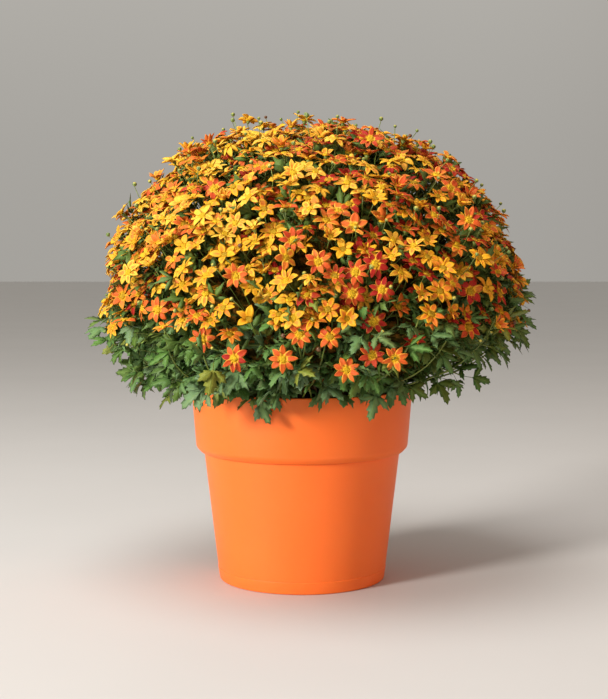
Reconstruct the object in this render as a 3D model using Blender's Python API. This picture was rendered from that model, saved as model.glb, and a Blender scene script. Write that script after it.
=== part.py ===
"""Potted bidens: a straight-tapered nursery pot with a collar, its potting mix, the flowering
stems that make the dome, and the leafy side stems that hang over the rim. Metres, +Z up, the
pot's underside centred on the origin. Every stem's origin is its foot in the mix."""

import math

import bpy
import numpy as np
from mathutils import Matrix, Vector
from mathutils.bvhtree import BVHTree

SEED = 4117
CLEARANCE = 0.0003
GOLDEN_TURN = math.pi * (3 - math.sqrt(5))

# Pot
POT_SIDES = 36
POT_HEIGHT = 0.243
BASE_RADIUS = 0.1050
RIM_RADIUS = 0.1398
WALL = 0.0029
COLLAR_Z = 0.1628
FLOOR_Z = 0.0036
DRAIN_HOLES = 4
DRAIN_RING = 0.066
DRAIN_RADIUS = 0.005

# Potting mix
SOIL_SIDES = 18
SOIL_EDGE_Z = 0.2175
SOIL_TOP_Z = 0.2225
HOLE_FLOOR_Z = 0.196

# Dome that the blooms' centres lie on, leaning a little to the right of the pot's axis
HEART = np.array([0.014, 0.0, 0.250])
DOME_CENTRE = np.array([0.017, 0.0, 0.330])
DOME_REACH = 0.272
DOME_RISE = 0.243
DOME_DROP = 0.150
DOME_POWER = 2.35
DOME_FOOT_Z = 0.313
DOME_AREA = 0.43

# Sprays and their blooms
SPRAYS = 26
BLOOMS = 272
STAR_LEAST = 0.0165
STAR_MOST = (0.0228, 0.0262)
STAR_STEP = 0.0012
PETALS = 5
PETAL_VALLEY = 0.52
STAR_CROWN = 0.0016
NECK_DROP = 0.0042
NECK_RADIUS = 0.0022
CORE_TOP = 0.79
CORE_FOOT = 0.40
STALK_ROOT = 0.56
CELL_MARGIN = 0.012
SPRAY_FLOOR = 0.17
SPRAY_LEAVES = 2
STEM_SIDES = 4
STEM_RADIUS = 0.0024

# Leaves: half an outline between root and tip, as (share of length, share of half width)
LEAF_HALF = [(0.28, 0.14), (0.42, 1.0), (0.60, 0.42)]
LEAF_MIDDLE = 0.46
LEAF_RIB = 0.0011

# Leafy side stems, and for each of their leaves the share of the way along the stem,
# the swing to the side and the rise of its direction
SKIRTS = 12
SKIRT_STAND = 0.116
SKIRT_REACH = 0.226
SKIRT_LEAF = 0.068
SKIRT_LEAF_PLAN = [
    (0.50, -0.9, -0.70),
    (0.54, 0.9, -0.70),
    (0.62, 0.0, -1.0),
    (0.72, -0.8, 0.75),
    (0.80, 0.8, 0.75),
    (0.90, -0.9, -0.30),
    (0.95, 0.9, -0.25),
    (0.99, 0.0, 0.65),
]


def unit(v):
    v = np.asarray(v, float)
    return v / np.linalg.norm(v)


# Scene and mesh helpers
def clear_scene():
    for item in list(bpy.data.objects):
        bpy.data.objects.remove(item, do_unlink=True)


def coat(name, colour, roughness):
    made = bpy.data.materials.new(name)
    made.use_nodes = True
    shader = made.node_tree.nodes["Principled BSDF"]
    shader.inputs["Base Color"].default_value = (*colour, 1.0)
    shader.inputs["Roughness"].default_value = roughness
    made.diffuse_color = (*colour, 1.0)
    return made


def solid(name, points, faces, material=None, collection=None):
    mesh = bpy.data.meshes.new(name)
    mesh.from_pydata([tuple(map(float, p)) for p in points], [], [tuple(map(int, f)) for f in faces])
    if material:
        mesh.materials.append(material)
    made = bpy.data.objects.new(name, mesh)
    (collection or bpy.context.scene.collection).objects.link(made)
    return made


def tool_collection(name):
    made = bpy.data.collections.new(name)
    bpy.context.scene.collection.children.link(made)
    return made


def boolean(target, operation, tools, solver="EXACT"):
    """Joins to or cuts from the target every object in the tools' collection, then removes them.
    A spray's many thin crossing pieces need MANIFOLD: EXACT leaves it touching itself along an edge."""
    change = target.modifiers.new(operation.lower(), "BOOLEAN")
    change.operation = operation
    change.operand_type = "COLLECTION"
    change.collection = tools
    change.solver = solver
    graph = bpy.context.evaluated_depsgraph_get()
    result = bpy.data.meshes.new_from_object(target.evaluated_get(graph))
    target.modifiers.clear()
    target.data = result
    for tool in list(tools.objects):
        bpy.data.objects.remove(tool, do_unlink=True)
    bpy.data.collections.remove(tools)


def triangulated(faces):
    return [(f[0], f[k], f[k + 1]) for f in faces for k in range(1, len(f) - 1)]


def faces_out(points, faces):
    """True when a closed shape's faces point outwards."""
    corners = np.asarray(points)[np.array(triangulated(faces))]
    return np.linalg.det(corners).sum() > 0


def grown_together(base, pieces):
    """Every piece turned to face outwards and fused with the base by one union."""
    parts = tool_collection("parts")
    for points, faces in pieces:
        if not faces_out(points, faces):
            faces = [tuple(reversed(f)) for f in faces]
        solid("piece", points, faces, collection=parts)
    boolean(base, "UNION", parts, "MANIFOLD")


def rooted(item, stand, plant):
    """Puts the object's origin at its stem's foot, and the object under the plant's empty."""
    foot = Vector((stand[0], stand[1], HOLE_FLOOR_Z))
    item.data.transform(Matrix.Translation(-foot))
    item.location = foot
    item.parent = plant


def tree_of(shape):
    return BVHTree.FromPolygons([tuple(p) for p in shape[0]], shape[1])


def whole_tree(items):
    """One search tree over the finished meshes of several objects."""
    points = []
    faces = []
    for item in items:
        start = len(points)
        points += [tuple(v.co) for v in item.data.vertices]
        faces += [[start + i for i in face.vertices] for face in item.data.polygons]
    return BVHTree.FromPolygons(points, faces)


# Pot and potting mix
def turned(profile, sides):
    """Revolves (radius, height) rows, from the lower axis point to the upper one, about Z."""
    angles = np.arange(sides) * (2 * math.pi / sides)
    points = [(0, 0, profile[0][1])]
    for radius, height in profile[1:-1]:
        points += [(radius * math.cos(a), radius * math.sin(a), height) for a in angles]
    points.append((0, 0, profile[-1][1]))
    rows = len(profile) - 2
    top = 1 + (rows - 1) * sides
    faces = []
    for k in range(sides):
        n = (k + 1) % sides
        faces.append((0, 1 + n, 1 + k))
        for low in range(1, top, sides):
            faces.append((low + k, low + n, low + sides + n, low + sides + k))
        faces.append((top + sides, top + k, top + n))
    return points, faces


def prism(centre, bottom_z, top_z, radius, sides):
    angles = np.arange(sides) * (2 * math.pi / sides)
    ring = [(centre[0] + radius * math.cos(a), centre[1] + radius * math.sin(a)) for a in angles]
    points = [(x, y, bottom_z) for x, y in ring] + [(x, y, top_z) for x, y in ring]
    faces = [tuple(reversed(range(sides))), tuple(range(sides, 2 * sides))]
    faces += [(k, (k + 1) % sides, sides + (k + 1) % sides, sides + k) for k in range(sides)]
    return points, faces


def pot_profile():
    """Fine line above the base, taper, the collar on its rounded lip and the rim, then the inside."""
    collar = RIM_RADIUS - 0.0054
    body = BASE_RADIUS + 0.0188
    outside = [
        (BASE_RADIUS - 0.0022, 0.0),
        (BASE_RADIUS, 0.0020),
        (BASE_RADIUS + 0.0017, 0.0150),
        (BASE_RADIUS + 0.0027, 0.0160),
        (BASE_RADIUS + 0.0020, 0.0172),
        (body, COLLAR_Z - 0.0040),
        (body + 0.0018, COLLAR_Z - 0.0022),
        (collar - 0.0054, COLLAR_Z - 0.0010),
        (collar - 0.0016, COLLAR_Z + 0.0030),
        (collar, COLLAR_Z + 0.0104),
        (RIM_RADIUS, POT_HEIGHT - 0.0022),
        (RIM_RADIUS - 0.0012, POT_HEIGHT),
    ]
    return [(0.0, 0.0)] + outside + inner_wall() + [(0.0, FLOOR_Z)]


def inner_wall():
    """The pot's inside from the rim down to the floor."""
    return [
        (RIM_RADIUS - WALL, POT_HEIGHT - 0.0006),
        (RIM_RADIUS - 0.0054 - WALL, COLLAR_Z + 0.0052),
        (BASE_RADIUS + 0.0188 - WALL, COLLAR_Z - 0.0008),
        (BASE_RADIUS - WALL, FLOOR_Z),
    ]


def make_pot():
    colour = coat("orange_moulded_plastic", (0.90, 0.24, 0.05), 0.42)
    pot = solid("pot", *turned(pot_profile(), POT_SIDES), colour)
    drills = tool_collection("drills")
    for k in range(DRAIN_HOLES):
        turn = (k + 0.5) * 2 * math.pi / DRAIN_HOLES
        centre = (DRAIN_RING * math.cos(turn), DRAIN_RING * math.sin(turn))
        solid("drill", *prism(centre, -FLOOR_Z, 2 * FLOOR_Z, DRAIN_RADIUS, 8), collection=drills)
    boolean(pot, "DIFFERENCE", drills)
    pot.data.shade_smooth()
    pot.data.set_sharp_from_angle(angle=math.radians(35))


def make_soil(stands):
    """The potting mix, with one plain hole for every stem that stands in it."""
    rim, step, ledge, floor = inner_wall()
    rise = (SOIL_EDGE_Z - step[1]) / (rim[1] - step[1])
    edge = step[0] + (rim[0] - step[0]) * rise
    rows = [(r - CLEARANCE, z + CLEARANCE) for r, z in (floor, ledge, step)]
    rows += [(edge - CLEARANCE, SOIL_EDGE_Z), (0.55 * edge, SOIL_EDGE_Z + 0.0030)]
    profile = [(0.0, FLOOR_Z + CLEARANCE)] + rows + [(0.0, SOIL_TOP_Z)]
    soil = solid("soil", *turned(profile, SOIL_SIDES), coat("potting_mix", (0.05, 0.03, 0.02), 0.95))
    drills = tool_collection("dibbers")
    radius = STEM_RADIUS + CLEARANCE / math.cos(math.pi / STEM_SIDES)
    for stand in stands:
        shape = prism(stand, HOLE_FLOOR_Z - CLEARANCE, POT_HEIGHT, radius, STEM_SIDES)
        solid("dibber", *shape, collection=drills)
    boolean(soil, "DIFFERENCE", drills)


# The dome
def dome_radius(z):
    """Distance of the bloom surface from its upright axis at height z."""
    span = np.where(z >= DOME_CENTRE[2], DOME_RISE, DOME_DROP)
    level = np.clip(np.abs(z - DOME_CENTRE[2]) / span, 0, 1)
    return DOME_REACH * (1 - level**DOME_POWER) ** (1 / DOME_POWER)


def dome_points(count, rng, jitter):
    """Points spread evenly by area over the dome by the golden angle, then nudged."""
    z = DOME_FOOT_Z + (DOME_CENTRE[2] + DOME_RISE - DOME_FOOT_Z) * np.sin(np.linspace(0, math.pi / 2, 2000))
    rho = dome_radius(z)
    area = np.cumsum(np.hypot(np.diff(z), np.diff(rho)) * (rho[1:] + rho[:-1]))
    share = np.concatenate([[0], area / area[-1]])
    index = np.arange(count)
    height = np.interp((index + 0.5) / count, share, z)
    turn = index * GOLDEN_TURN
    rho = dome_radius(height)
    found = np.column_stack([rho * np.cos(turn), rho * np.sin(turn), height]) + DOME_CENTRE * [1, 1, 0]
    return found + rng.uniform(-jitter, jitter, found.shape)


def dome_normals(points):
    """Outward direction of the bloom surface near each point, from the slope of its formula."""
    offset = points - DOME_CENTRE
    flat = np.maximum(np.hypot(offset[:, 0], offset[:, 1]), 1e-6)
    span = np.where(offset[:, 2] > 0, DOME_RISE, DOME_DROP)
    rise = np.sign(offset[:, 2]) * np.abs(offset[:, 2] / span) ** (DOME_POWER - 1) / span
    side = (flat / DOME_REACH) ** (DOME_POWER - 1) / DOME_REACH
    found = np.column_stack([side * offset[:, 0] / flat, side * offset[:, 1] / flat, rise])
    return found / np.linalg.norm(found, axis=1, keepdims=True)


def dome_reaches(directions):
    """Distance from the heart to the dome along each direction, by bisection."""
    near = np.zeros(len(directions))
    far = np.full(len(directions), 0.6)
    for _ in range(40):
        middle = (near + far) / 2
        p = HEART + middle[:, None] * directions - DOME_CENTRE
        span = np.where(p[:, 2] >= 0, DOME_RISE, DOME_DROP)
        across = np.hypot(p[:, 0], p[:, 1]) / DOME_REACH
        inside = across**DOME_POWER + (np.abs(p[:, 2]) / span) ** DOME_POWER < 1
        near = np.where(inside, middle, near)
        far = np.where(inside, far, middle)
    return near


def inside_dome(directions, share):
    """Points at a share of the way from the heart to the dome."""
    directions = np.atleast_2d(directions)
    directions = directions / np.linalg.norm(directions, axis=1, keepdims=True)
    return HEART + share * dome_reaches(directions)[:, None] * directions


def spread_apart(points, rounds):
    """Pushes neighbours apart along the dome, so that the blooms cover it evenly."""
    wanted = 1.25 * math.sqrt(DOME_AREA / len(points))
    for _ in range(rounds):
        gap = points[:, None] - points[None]
        far = np.linalg.norm(gap, axis=2) + 10 * np.eye(len(points))
        push = np.clip(wanted - far, 0, None) / far
        points = points + 0.16 * (gap * push[:, :, None]).sum(axis=1)
        points[:, 2] = np.maximum(points[:, 2], DOME_FOOT_Z)
        points = inside_dome(points - HEART, 1.0)
    return points


def spray_directions(directions):
    """Groups the bloom directions into even cells, by repeated nearest-centre averaging."""
    index = np.arange(SPRAYS)
    lift = 0.12 + 0.88 * (index + 0.5) / SPRAYS
    flat = np.sqrt(1 - lift**2)
    turn = index * GOLDEN_TURN
    centres = np.column_stack([flat * np.cos(turn), flat * np.sin(turn), lift])
    for _ in range(60):
        owner = np.argmax(directions @ centres.T, axis=1)
        for c in range(SPRAYS):
            centres[c] = unit(directions[owner == c].mean(axis=0))
    return centres, np.argmax(directions @ centres.T, axis=1)


def borders(index, sprays):
    """Normals, pointing inwards, of the planes between one spray's cell and all others."""
    return [unit(sprays[index] - other) for j, other in enumerate(sprays) if j != index]


def cell_outline(index, sprays):
    """The cell of one spray as directions from the heart: a wide square cut by every border plane."""
    centre = sprays[index]
    side = unit(np.cross([0, 0, 1] if abs(centre[2]) < 0.95 else [1, 0, 0], centre))
    up = np.cross(centre, side)
    outline = [np.array(p) for p in ((-1.2, -1.2), (1.2, -1.2), (1.2, 1.2), (-1.2, 1.2))]
    rules = [(normal, CELL_MARGIN) for normal in borders(index, sprays)]
    rules.append((np.array([0, 0, 1.0]), SPRAY_FLOOR))
    for normal, least in rules:
        height = [(centre + p[0] * side + p[1] * up) @ normal - least for p in outline]
        cut = []
        for k, p in enumerate(outline):
            n = (k + 1) % len(outline)
            if height[k] >= 0:
                cut.append(p)
            if (height[k] >= 0) != (height[n] >= 0):
                cut.append(p + (outline[n] - p) * height[k] / (height[k] - height[n]))
        outline = cut
    apart = [np.linalg.norm(p - outline[(k + 1) % len(outline)]) for k, p in enumerate(outline)]
    return [centre + p[0] * side + p[1] * up for p, far in zip(outline, apart) if far > 0.05]


def core_shape(index, sprays):
    """The leafy core of a spray: its cell's outline drawn in under the blooms, narrowing to a point."""
    outline = cell_outline(index, sprays)
    ring = inside_dome(outline, CORE_TOP)
    crown = inside_dome(sprays[index], CORE_TOP + 0.02)
    point = inside_dome(sprays[index], CORE_FOOT)
    count = len(outline)
    faces = []
    for k in range(count):
        n = (k + 1) % count
        faces += [(k, n, count), (n, k, count + 1)]
    return np.concatenate([ring, crown, point]), faces


# Blooms, leaves and stems
def bloom_shape(centre, axis, radius, root, turn, swell=1.0):
    """A five-petalled star whose petals lift and dip in turn, on a stalk that narrows to its root."""
    side = unit(np.cross(axis, [0.31, 0.87, 0.38]))
    up = np.cross(axis, side)
    rim = 2 * PETALS
    points = []
    for k in range(rim):
        angle = turn + k * math.pi / PETALS
        tip = k % 2 == 0
        reach = radius * (1.0 if tip else PETAL_VALLEY)
        rise = radius * (0.10 * math.sin(2.1 * k + 5 * turn) if tip else 0.03)
        points.append(centre + reach * (math.cos(angle) * side + math.sin(angle) * up) + rise * axis)
    for k in range(3):
        angle = turn + 2 * math.pi * (k / 3 - 0.05)
        spread = math.cos(angle) * side + math.sin(angle) * up
        points.append(centre - NECK_DROP * axis + swell * NECK_RADIUS * spread)
    points += [root, centre + STAR_CROWN * axis]
    faces = [(k, (k + 1) % rim, rim + 4) for k in range(rim)]
    faces += [(rim + (k + 1) % 3, rim + k, rim + 3) for k in range(3)]
    neck = 0
    for k in range(rim):
        if 3 * k // rim != neck:
            faces.append((k, rim + neck, rim + neck + 1))
            neck += 1
        faces.append(((k + 1) % rim, k, rim + neck))
    faces.append((0, rim + neck, rim))
    return points, faces


def grown_stars(centres, axes, roots, rng):
    """Grows each star in steps, turning it where that helps, while it stays clear of all others."""
    count = len(centres)
    apart = np.linalg.norm(centres[:, None] - centres[None], axis=2) + np.eye(count)
    near = [np.flatnonzero(row < 2.2 * STAR_MOST[1]) for row in apart]
    radii = np.minimum(apart.min(axis=1) / 2 - CLEARANCE, STAR_LEAST)
    limits = rng.uniform(*STAR_MOST, count)
    turns = rng.uniform(0, 2 * math.pi, count)
    trees = [tree_of(bloom_shape(*star)) for star in zip(centres, axes, radii, roots, turns)]
    for _ in range(9):
        for k in np.flatnonzero(radii < limits):
            wider = min(radii[k] + STAR_STEP, limits[k])
            for turn in turns[k] + np.arange(6) * (math.pi / 15):
                loose = bloom_shape(centres[k], axes[k], wider + 3 * CLEARANCE, roots[k], turn, 1.5)
                if not any(tree_of(loose).overlap(trees[j]) for j in near[k]):
                    radii[k] = wider
                    turns[k] = turn
                    trees[k] = tree_of(bloom_shape(centres[k], axes[k], wider, roots[k], turn))
                    break
    return radii, turns


def bloom_layout():
    """Every bloom of the dome as (centre, axis, radius, root, turn), with the spray it belongs to."""
    rng = np.random.default_rng(SEED)
    centres = inside_dome(dome_points(BLOOMS, rng, 0.006) - HEART, 1.0)
    centres = spread_apart(centres, 24) + rng.uniform(-0.002, 0.002, centres.shape)
    normals = dome_normals(centres)
    centres += normals * rng.uniform(-0.007, 0.006, (BLOOMS, 1))
    towards = centres - HEART
    towards /= np.linalg.norm(towards, axis=1, keepdims=True)
    sprays, owner = spray_directions(towards)
    axes = normals * 0.8 + np.array([0, 0, 0.28]) + rng.uniform(-0.3, 0.3, normals.shape)
    axes /= np.linalg.norm(axes, axis=1, keepdims=True)
    roots = inside_dome(towards * 0.38 + sprays[owner] * 0.62, STALK_ROOT)
    radii, turns = grown_stars(centres, axes, roots, rng)
    return list(zip(centres, axes, radii, roots, turns)), sprays, owner


def leaf_shape(root, along, face, length, width, droop, rib=LEAF_RIB):
    """A cut leaf: a side lobe on each edge and a pointed tip, thickest at the middle of its rib."""
    side = unit(np.cross(face, along))
    face = unit(np.cross(along, side))

    def at(share, across, lift=0.0):
        bend = -droop * length * share * share - 0.05 * width * abs(across)
        return root + share * length * along + across * 0.5 * width * side + (bend + lift) * face

    right = [at(share, across) for share, across in LEAF_HALF]
    left = [at(share, -across) for share, across in LEAF_HALF]
    points = [at(0.0, 0.0)] + right + [at(1.0, 0.0)] + left[::-1]
    count = len(points)
    points += [at(LEAF_MIDDLE, 0.0, rib), at(LEAF_MIDDLE, 0.0, -rib)]
    faces = []
    for k in range(count):
        n = (k + 1) % count
        faces += [(k, n, count), (n, k, count + 1)]
    return points, faces


def carried_frames(path):
    """A pair of side directions for each point of a path, carried along without twisting."""
    side = np.array([1.0, 0, 0])
    found = []
    for k, point in enumerate(path):
        ahead = path[min(k + 1, len(path) - 1)] - point
        behind = point - path[max(k - 1, 0)]
        inner = 0 < k < len(path) - 1
        along = unit(unit(ahead) + unit(behind)) if inner else unit(ahead + behind)
        side = unit(side - along * (side @ along))
        found.append((side, np.cross(along, side)))
    return found


def tube(path, radii):
    """A closed tube with flat ends along a path."""
    angles = np.arange(STEM_SIDES) * (2 * math.pi / STEM_SIDES)
    points = []
    for point, radius, (side, up) in zip(path, radii, carried_frames(path)):
        points += [point + radius * (math.cos(a) * side + math.sin(a) * up) for a in angles]
    last = (len(path) - 1) * STEM_SIDES
    faces = [tuple(reversed(range(STEM_SIDES))), tuple(range(last, last + STEM_SIDES))]
    for low in range(0, last, STEM_SIDES):
        for k in range(STEM_SIDES):
            n = (k + 1) % STEM_SIDES
            faces.append((low + k, low + n, low + STEM_SIDES + n, low + STEM_SIDES + k))
    return points, faces


# Flowering sprays
def spray_stand(direction):
    """Where a spray's stem stands in the mix: nearer the wall for a lower spray."""
    low = math.acos(direction[2]) / (math.pi / 2)
    flat = np.array(direction[:2])
    return (0.012 + 0.088 * min(1.0, 1.12 * low)) * flat / np.linalg.norm(flat)


def spray_stem(stand, direction):
    foot = np.array([*stand, HOLE_FLOOR_Z])
    collar = np.array([*stand, SOIL_TOP_Z + 0.006])
    joint = inside_dome(direction, CORE_FOOT - 0.02)[0]
    inner = inside_dome(direction, CORE_FOOT + 0.20)[0]
    return tube([foot, collar, joint, inner], [STEM_RADIUS, STEM_RADIUS, 0.0020, 0.0016])


def spray_leaves(index, sprays, taken, rng):
    """Cut leaves that stand out of the core between the blooms, kept inside the spray's cell."""
    found = []
    for _ in range(500):
        if len(found) == SPRAY_LEAVES:
            break
        heading = unit(sprays[index] + rng.uniform(-0.26, 0.26, 3))
        root = inside_dome(heading, CORE_TOP - 0.06)[0]
        along = unit(heading + 0.8 * unit(np.cross(heading, rng.normal(size=3))))
        face = unit(heading + 0.4 * rng.normal(size=3))
        leaf = leaf_shape(root, along, face, 0.070, 0.048, 0.10)
        arms = np.array(leaf[0]) - HEART
        reach = np.linalg.norm(arms, axis=1)
        inside = min((arms @ normal).min() for normal in borders(index, sprays)) > 0.0035
        under = (reach / dome_reaches(arms / reach[:, None])).max() < 0.93
        above = (arms[:, 2] / np.hypot(arms[:, 0], arms[:, 1])).min() > SPRAY_FLOOR + 0.01
        tree = tree_of(leaf)
        if inside and under and above and not any(tree.overlap(other) for other in taken):
            taken.append(tree)
            found.append(leaf)
    return found


def make_spray(index, blooms, sprays, material):
    """One stem out of the mix, its small leafy core, and the stalked blooms and leaves on it."""
    rng = np.random.default_rng(SEED + 100 + index)
    spray = solid(f"bloom_spray_{index + 1:02d}", *core_shape(index, sprays), material)
    stand = spray_stand(sprays[index])
    stars = [bloom_shape(*bloom) for bloom in blooms]
    leaves = spray_leaves(index, sprays, [tree_of(star) for star in stars], rng)
    grown_together(spray, [spray_stem(stand, sprays[index])] + stars + leaves)
    return spray, stand


# Leafy side stems
def skirt_path(turn, reach, rise):
    """Up out of the mix beside the wall, over the rim, and out to the dome's edge."""
    across = np.array([math.cos(turn), math.sin(turn), 0])
    rows = [(SKIRT_STAND, HOLE_FLOOR_Z), (SKIRT_STAND, SOIL_TOP_Z + 0.004), (0.130, 0.250)]
    rows += [(0.170, 0.268 + rise), (reach, 0.264 + rise)]
    return [flat * across + np.array([0, 0, z]) for flat, z in rows]


def on_path(path, share):
    """The point at a share of the path's length."""
    steps = [np.linalg.norm(b - a) for a, b in zip(path, path[1:])]
    along = np.concatenate([[0], np.cumsum(steps)])
    return np.array([np.interp(share * along[-1], along, [p[c] for p in path]) for c in range(3)])


def leaf_fits(points, turn):
    """Inside the stem's own sector, under the sprays and clear of the pot's wall and rim."""
    flat = np.hypot(points[:, 0], points[:, 1])
    swing = (np.arctan2(points[:, 1], points[:, 0]) - turn + math.pi) % (2 * math.pi) - math.pi
    inside = (flat * np.sin(math.pi / SKIRTS - np.abs(swing))).min() > 0.0012
    under = (0.280 + 0.11 * flat - points[:, 2]).min() > 0
    clear = flat.min() > RIM_RADIUS + 0.0057 or points[:, 2].min() > POT_HEIGHT + 0.0025
    hem = np.interp(flat, [0.14, 0.19, 0.235, 0.27], [0.226, 0.218, 0.238, 0.258])
    reach = np.hypot(points[:, 0] - DOME_CENTRE[0], points[:, 1]).max() < 0.268
    return inside and under and clear and (points[:, 2] > hem).all() and reach


def skirt_leaf(path, turn, plan, taken, rng):
    """One leaf of the plan, turned and eased smaller until it fits, or None."""
    share, swing, rise = plan
    out = np.array([math.cos(turn), math.sin(turn), 0])
    aside = np.array([-math.sin(turn), math.cos(turn), 0])
    base = on_path(path, share)
    tries = 240
    for trial in range(tries):
        ease = trial / tries
        along = out * (0.55 + 0.5 * ease) + aside * swing * (1 - 0.4 * ease) + np.array([0, 0, rise])
        along = unit(unit(along) + (0.15 + 0.5 * ease) * rng.normal(size=3))
        face = unit(0.9 * out + np.array([0, 0, 0.4]) + (0.2 + 0.3 * ease) * rng.normal(size=3))
        length = SKIRT_LEAF * rng.uniform(0.9, 1.1) * (1 - 0.35 * ease)
        root = base - 0.0006 * along
        leaf = leaf_shape(root, along, face, length, 0.80 * length, 0.12)
        if not leaf_fits(np.array(leaf[0]), turn):
            continue
        loose = leaf_shape(root + 0.008 * along, along, face, length, 0.84 * length, 0.12, 2 * LEAF_RIB)
        tree = tree_of(leaf)
        if not any(tree_of(loose).overlap(t) or tree.overlap(t) for t in taken):
            taken.append(tree)
            return leaf
    return None


def make_skirt(index, sprays_tree, material):
    """A leafy stem that stands near the wall, arches over the rim and hangs its leaves outside."""
    rng = np.random.default_rng(SEED + 500 + index)
    turn = (index + 0.5) * 2 * math.pi / SKIRTS
    lean = DOME_CENTRE[0] * math.cos(turn)
    path = skirt_path(turn, SKIRT_REACH + lean + rng.uniform(-0.006, 0.004), rng.uniform(-0.004, 0.004))
    stem = tube(path, [STEM_RADIUS, STEM_RADIUS, 0.0023, 0.0021, 0.0016])
    skirt = solid(f"leafy_skirt_{index + 1:02d}", stem[0], triangulated(stem[1]), material)
    taken = [sprays_tree]
    leaves = [skirt_leaf(path, turn, plan, taken, rng) for plan in SKIRT_LEAF_PLAN]
    grown_together(skirt, [leaf for leaf in leaves if leaf])
    return skirt, path[0][:2]


def main():
    clear_scene()
    make_pot()
    plant = bpy.data.objects.new("bidens_plant", None)
    bpy.context.scene.collection.objects.link(plant)
    blooms, sprays, owner = bloom_layout()
    gold = coat("golden_petals", (0.86, 0.36, 0.02), 0.5)
    green = coat("green_leaves", (0.06, 0.17, 0.04), 0.5)
    made = []
    for index in range(SPRAYS):
        own = [bloom for bloom, holder in zip(blooms, owner) if holder == index]
        made.append(make_spray(index, own, sprays, gold))
    tree = whole_tree([spray for spray, _ in made])
    made += [make_skirt(index, tree, green) for index in range(SKIRTS)]
    for item, stand in made:
        rooted(item, stand, plant)
    make_soil([stand for _, stand in made])


main()
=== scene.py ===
"""Potted bidens in full bloom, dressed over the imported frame: fine golden and orange flowers, buds,
cut leaves and stems on the sprays and skirts, and a smooth moulded pot. Metres, +Z up."""

import math

import bpy
import numpy as np
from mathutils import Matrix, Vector


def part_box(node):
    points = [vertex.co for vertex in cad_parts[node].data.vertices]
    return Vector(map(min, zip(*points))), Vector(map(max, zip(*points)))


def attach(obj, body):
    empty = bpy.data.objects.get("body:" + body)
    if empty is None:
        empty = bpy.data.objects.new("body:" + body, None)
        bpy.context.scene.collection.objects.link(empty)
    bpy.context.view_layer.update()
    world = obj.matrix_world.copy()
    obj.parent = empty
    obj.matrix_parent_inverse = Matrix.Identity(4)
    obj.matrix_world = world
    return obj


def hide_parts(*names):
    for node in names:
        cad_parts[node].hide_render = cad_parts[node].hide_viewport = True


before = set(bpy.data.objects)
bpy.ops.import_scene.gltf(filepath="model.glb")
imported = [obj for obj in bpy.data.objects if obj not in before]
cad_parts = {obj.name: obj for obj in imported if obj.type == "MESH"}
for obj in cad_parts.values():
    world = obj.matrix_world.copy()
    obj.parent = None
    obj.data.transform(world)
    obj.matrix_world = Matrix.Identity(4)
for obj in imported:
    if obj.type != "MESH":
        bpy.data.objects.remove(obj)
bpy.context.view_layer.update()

# Camera, as worked out from the pot's rim, collar and base in the photograph
FRAME_PX = (608, 699)
FOCAL_PX = 1416
HORIZON_PX = 246
POT_AXIS_PX = 302
EYE_DISTANCE = 1.789
EYE_HEIGHT = 0.421
SENSOR_MM = 36
EYE = np.array([(FRAME_PX[0] / 2 - POT_AXIS_PX) * EYE_DISTANCE / FOCAL_PX, -EYE_DISTANCE, EYE_HEIGHT])
PITCH = math.atan((FRAME_PX[1] / 2 - HORIZON_PX) / FOCAL_PX)

# Pot
POT_HEIGHT = 0.243
BASE_RADIUS = 0.1050
RIM_RADIUS = 0.1398
WALL = 0.0029
COLLAR_Z = 0.1640
FLOOR_Z = 0.0036
DRAIN_HOLES = 4
DRAIN_RING = 0.066
DRAIN_RADIUS = 0.005
SOIL_TOP_Z = 0.2225
STEM_SINK = 0.004
POT_SIDES = 144

# Dome of blooms, the same as the frame's
HEART = np.array([0.014, 0.0, 0.250])
DOME_CENTRE = np.array([0.017, 0.0, 0.330])
DOME_REACH = 0.272
DOME_RISE = 0.243
DOME_DROP = 0.150
DOME_POWER = 2.35
DOME_FOOT_Z = 0.306
GOLDEN_TURN = math.pi * (3 - math.sqrt(5))

# Blooms
OUTER_BLOOMS = 760
INNER_BLOOMS = 370
HEM_BLOOMS = 16
BUDS = 190
BLOOM_RADIUS = 0.0148
BLOOM_SPACING = 0.0173
HEM_SPACING = 0.034
BUD_SPACING = 0.026
HEM_FOOT_Z = 0.272
PETAL_COUNTS = [3, 5, 6, 7, 8]
PETAL_CHANCES = [0.02, 0.16, 0.12, 0.20, 0.50]
STALK_STEPS = 5
MAIN_STEMS = 8
MAIN_STEM_STEPS = 9
JOINT_SHARE = 0.78
RED_BLOOMS_PX = {
    "deep": [(384, 289), (377, 263), (378, 322)],
    "red": [(208, 178), (235, 358), (375, 358), (354, 293), (357, 271), (292, 237), (370, 140)],
    "warm": [(282, 361), (299, 335), (348, 374), (397, 360), (467, 221)]
    + [(318, 262), (233, 275), (152, 310), (195, 341)],
}

# Skirts
SKIRTS = 12
SHOOTS = 10
LEANING_STEMS = 2
BARE_RIM_TURNS = np.radians([211, 245, 266])
BARE_RIM_REACH = np.radians([11, 5, 4])
BARE_RIM_TOP_Z = 0.272
SHOOT_STEPS = 12
COLLAR_GAP = 0.0015
BLADE_THICKNESS = 0.0004

PETALS, DISCS, GREENS, LEAVES = range(4)


# Directions and places on the dome
def unit(v):
    v = np.asarray(v, float)
    return v / np.linalg.norm(v, axis=-1, keepdims=True)


def upright_pair(axis, turn):
    """Two directions square to each axis, turned about it by the given angle."""
    side = unit(np.cross(axis, [0.31, 0.87, 0.38]))
    up = np.cross(axis, side)
    c, s = np.cos(turn)[..., None], np.sin(turn)[..., None]
    return c * side + s * up, c * up - s * side


def squared(v, along):
    """Direction of the part of v that is square to along."""
    return unit(v - along * (v * along).sum(-1, keepdims=True))


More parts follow.
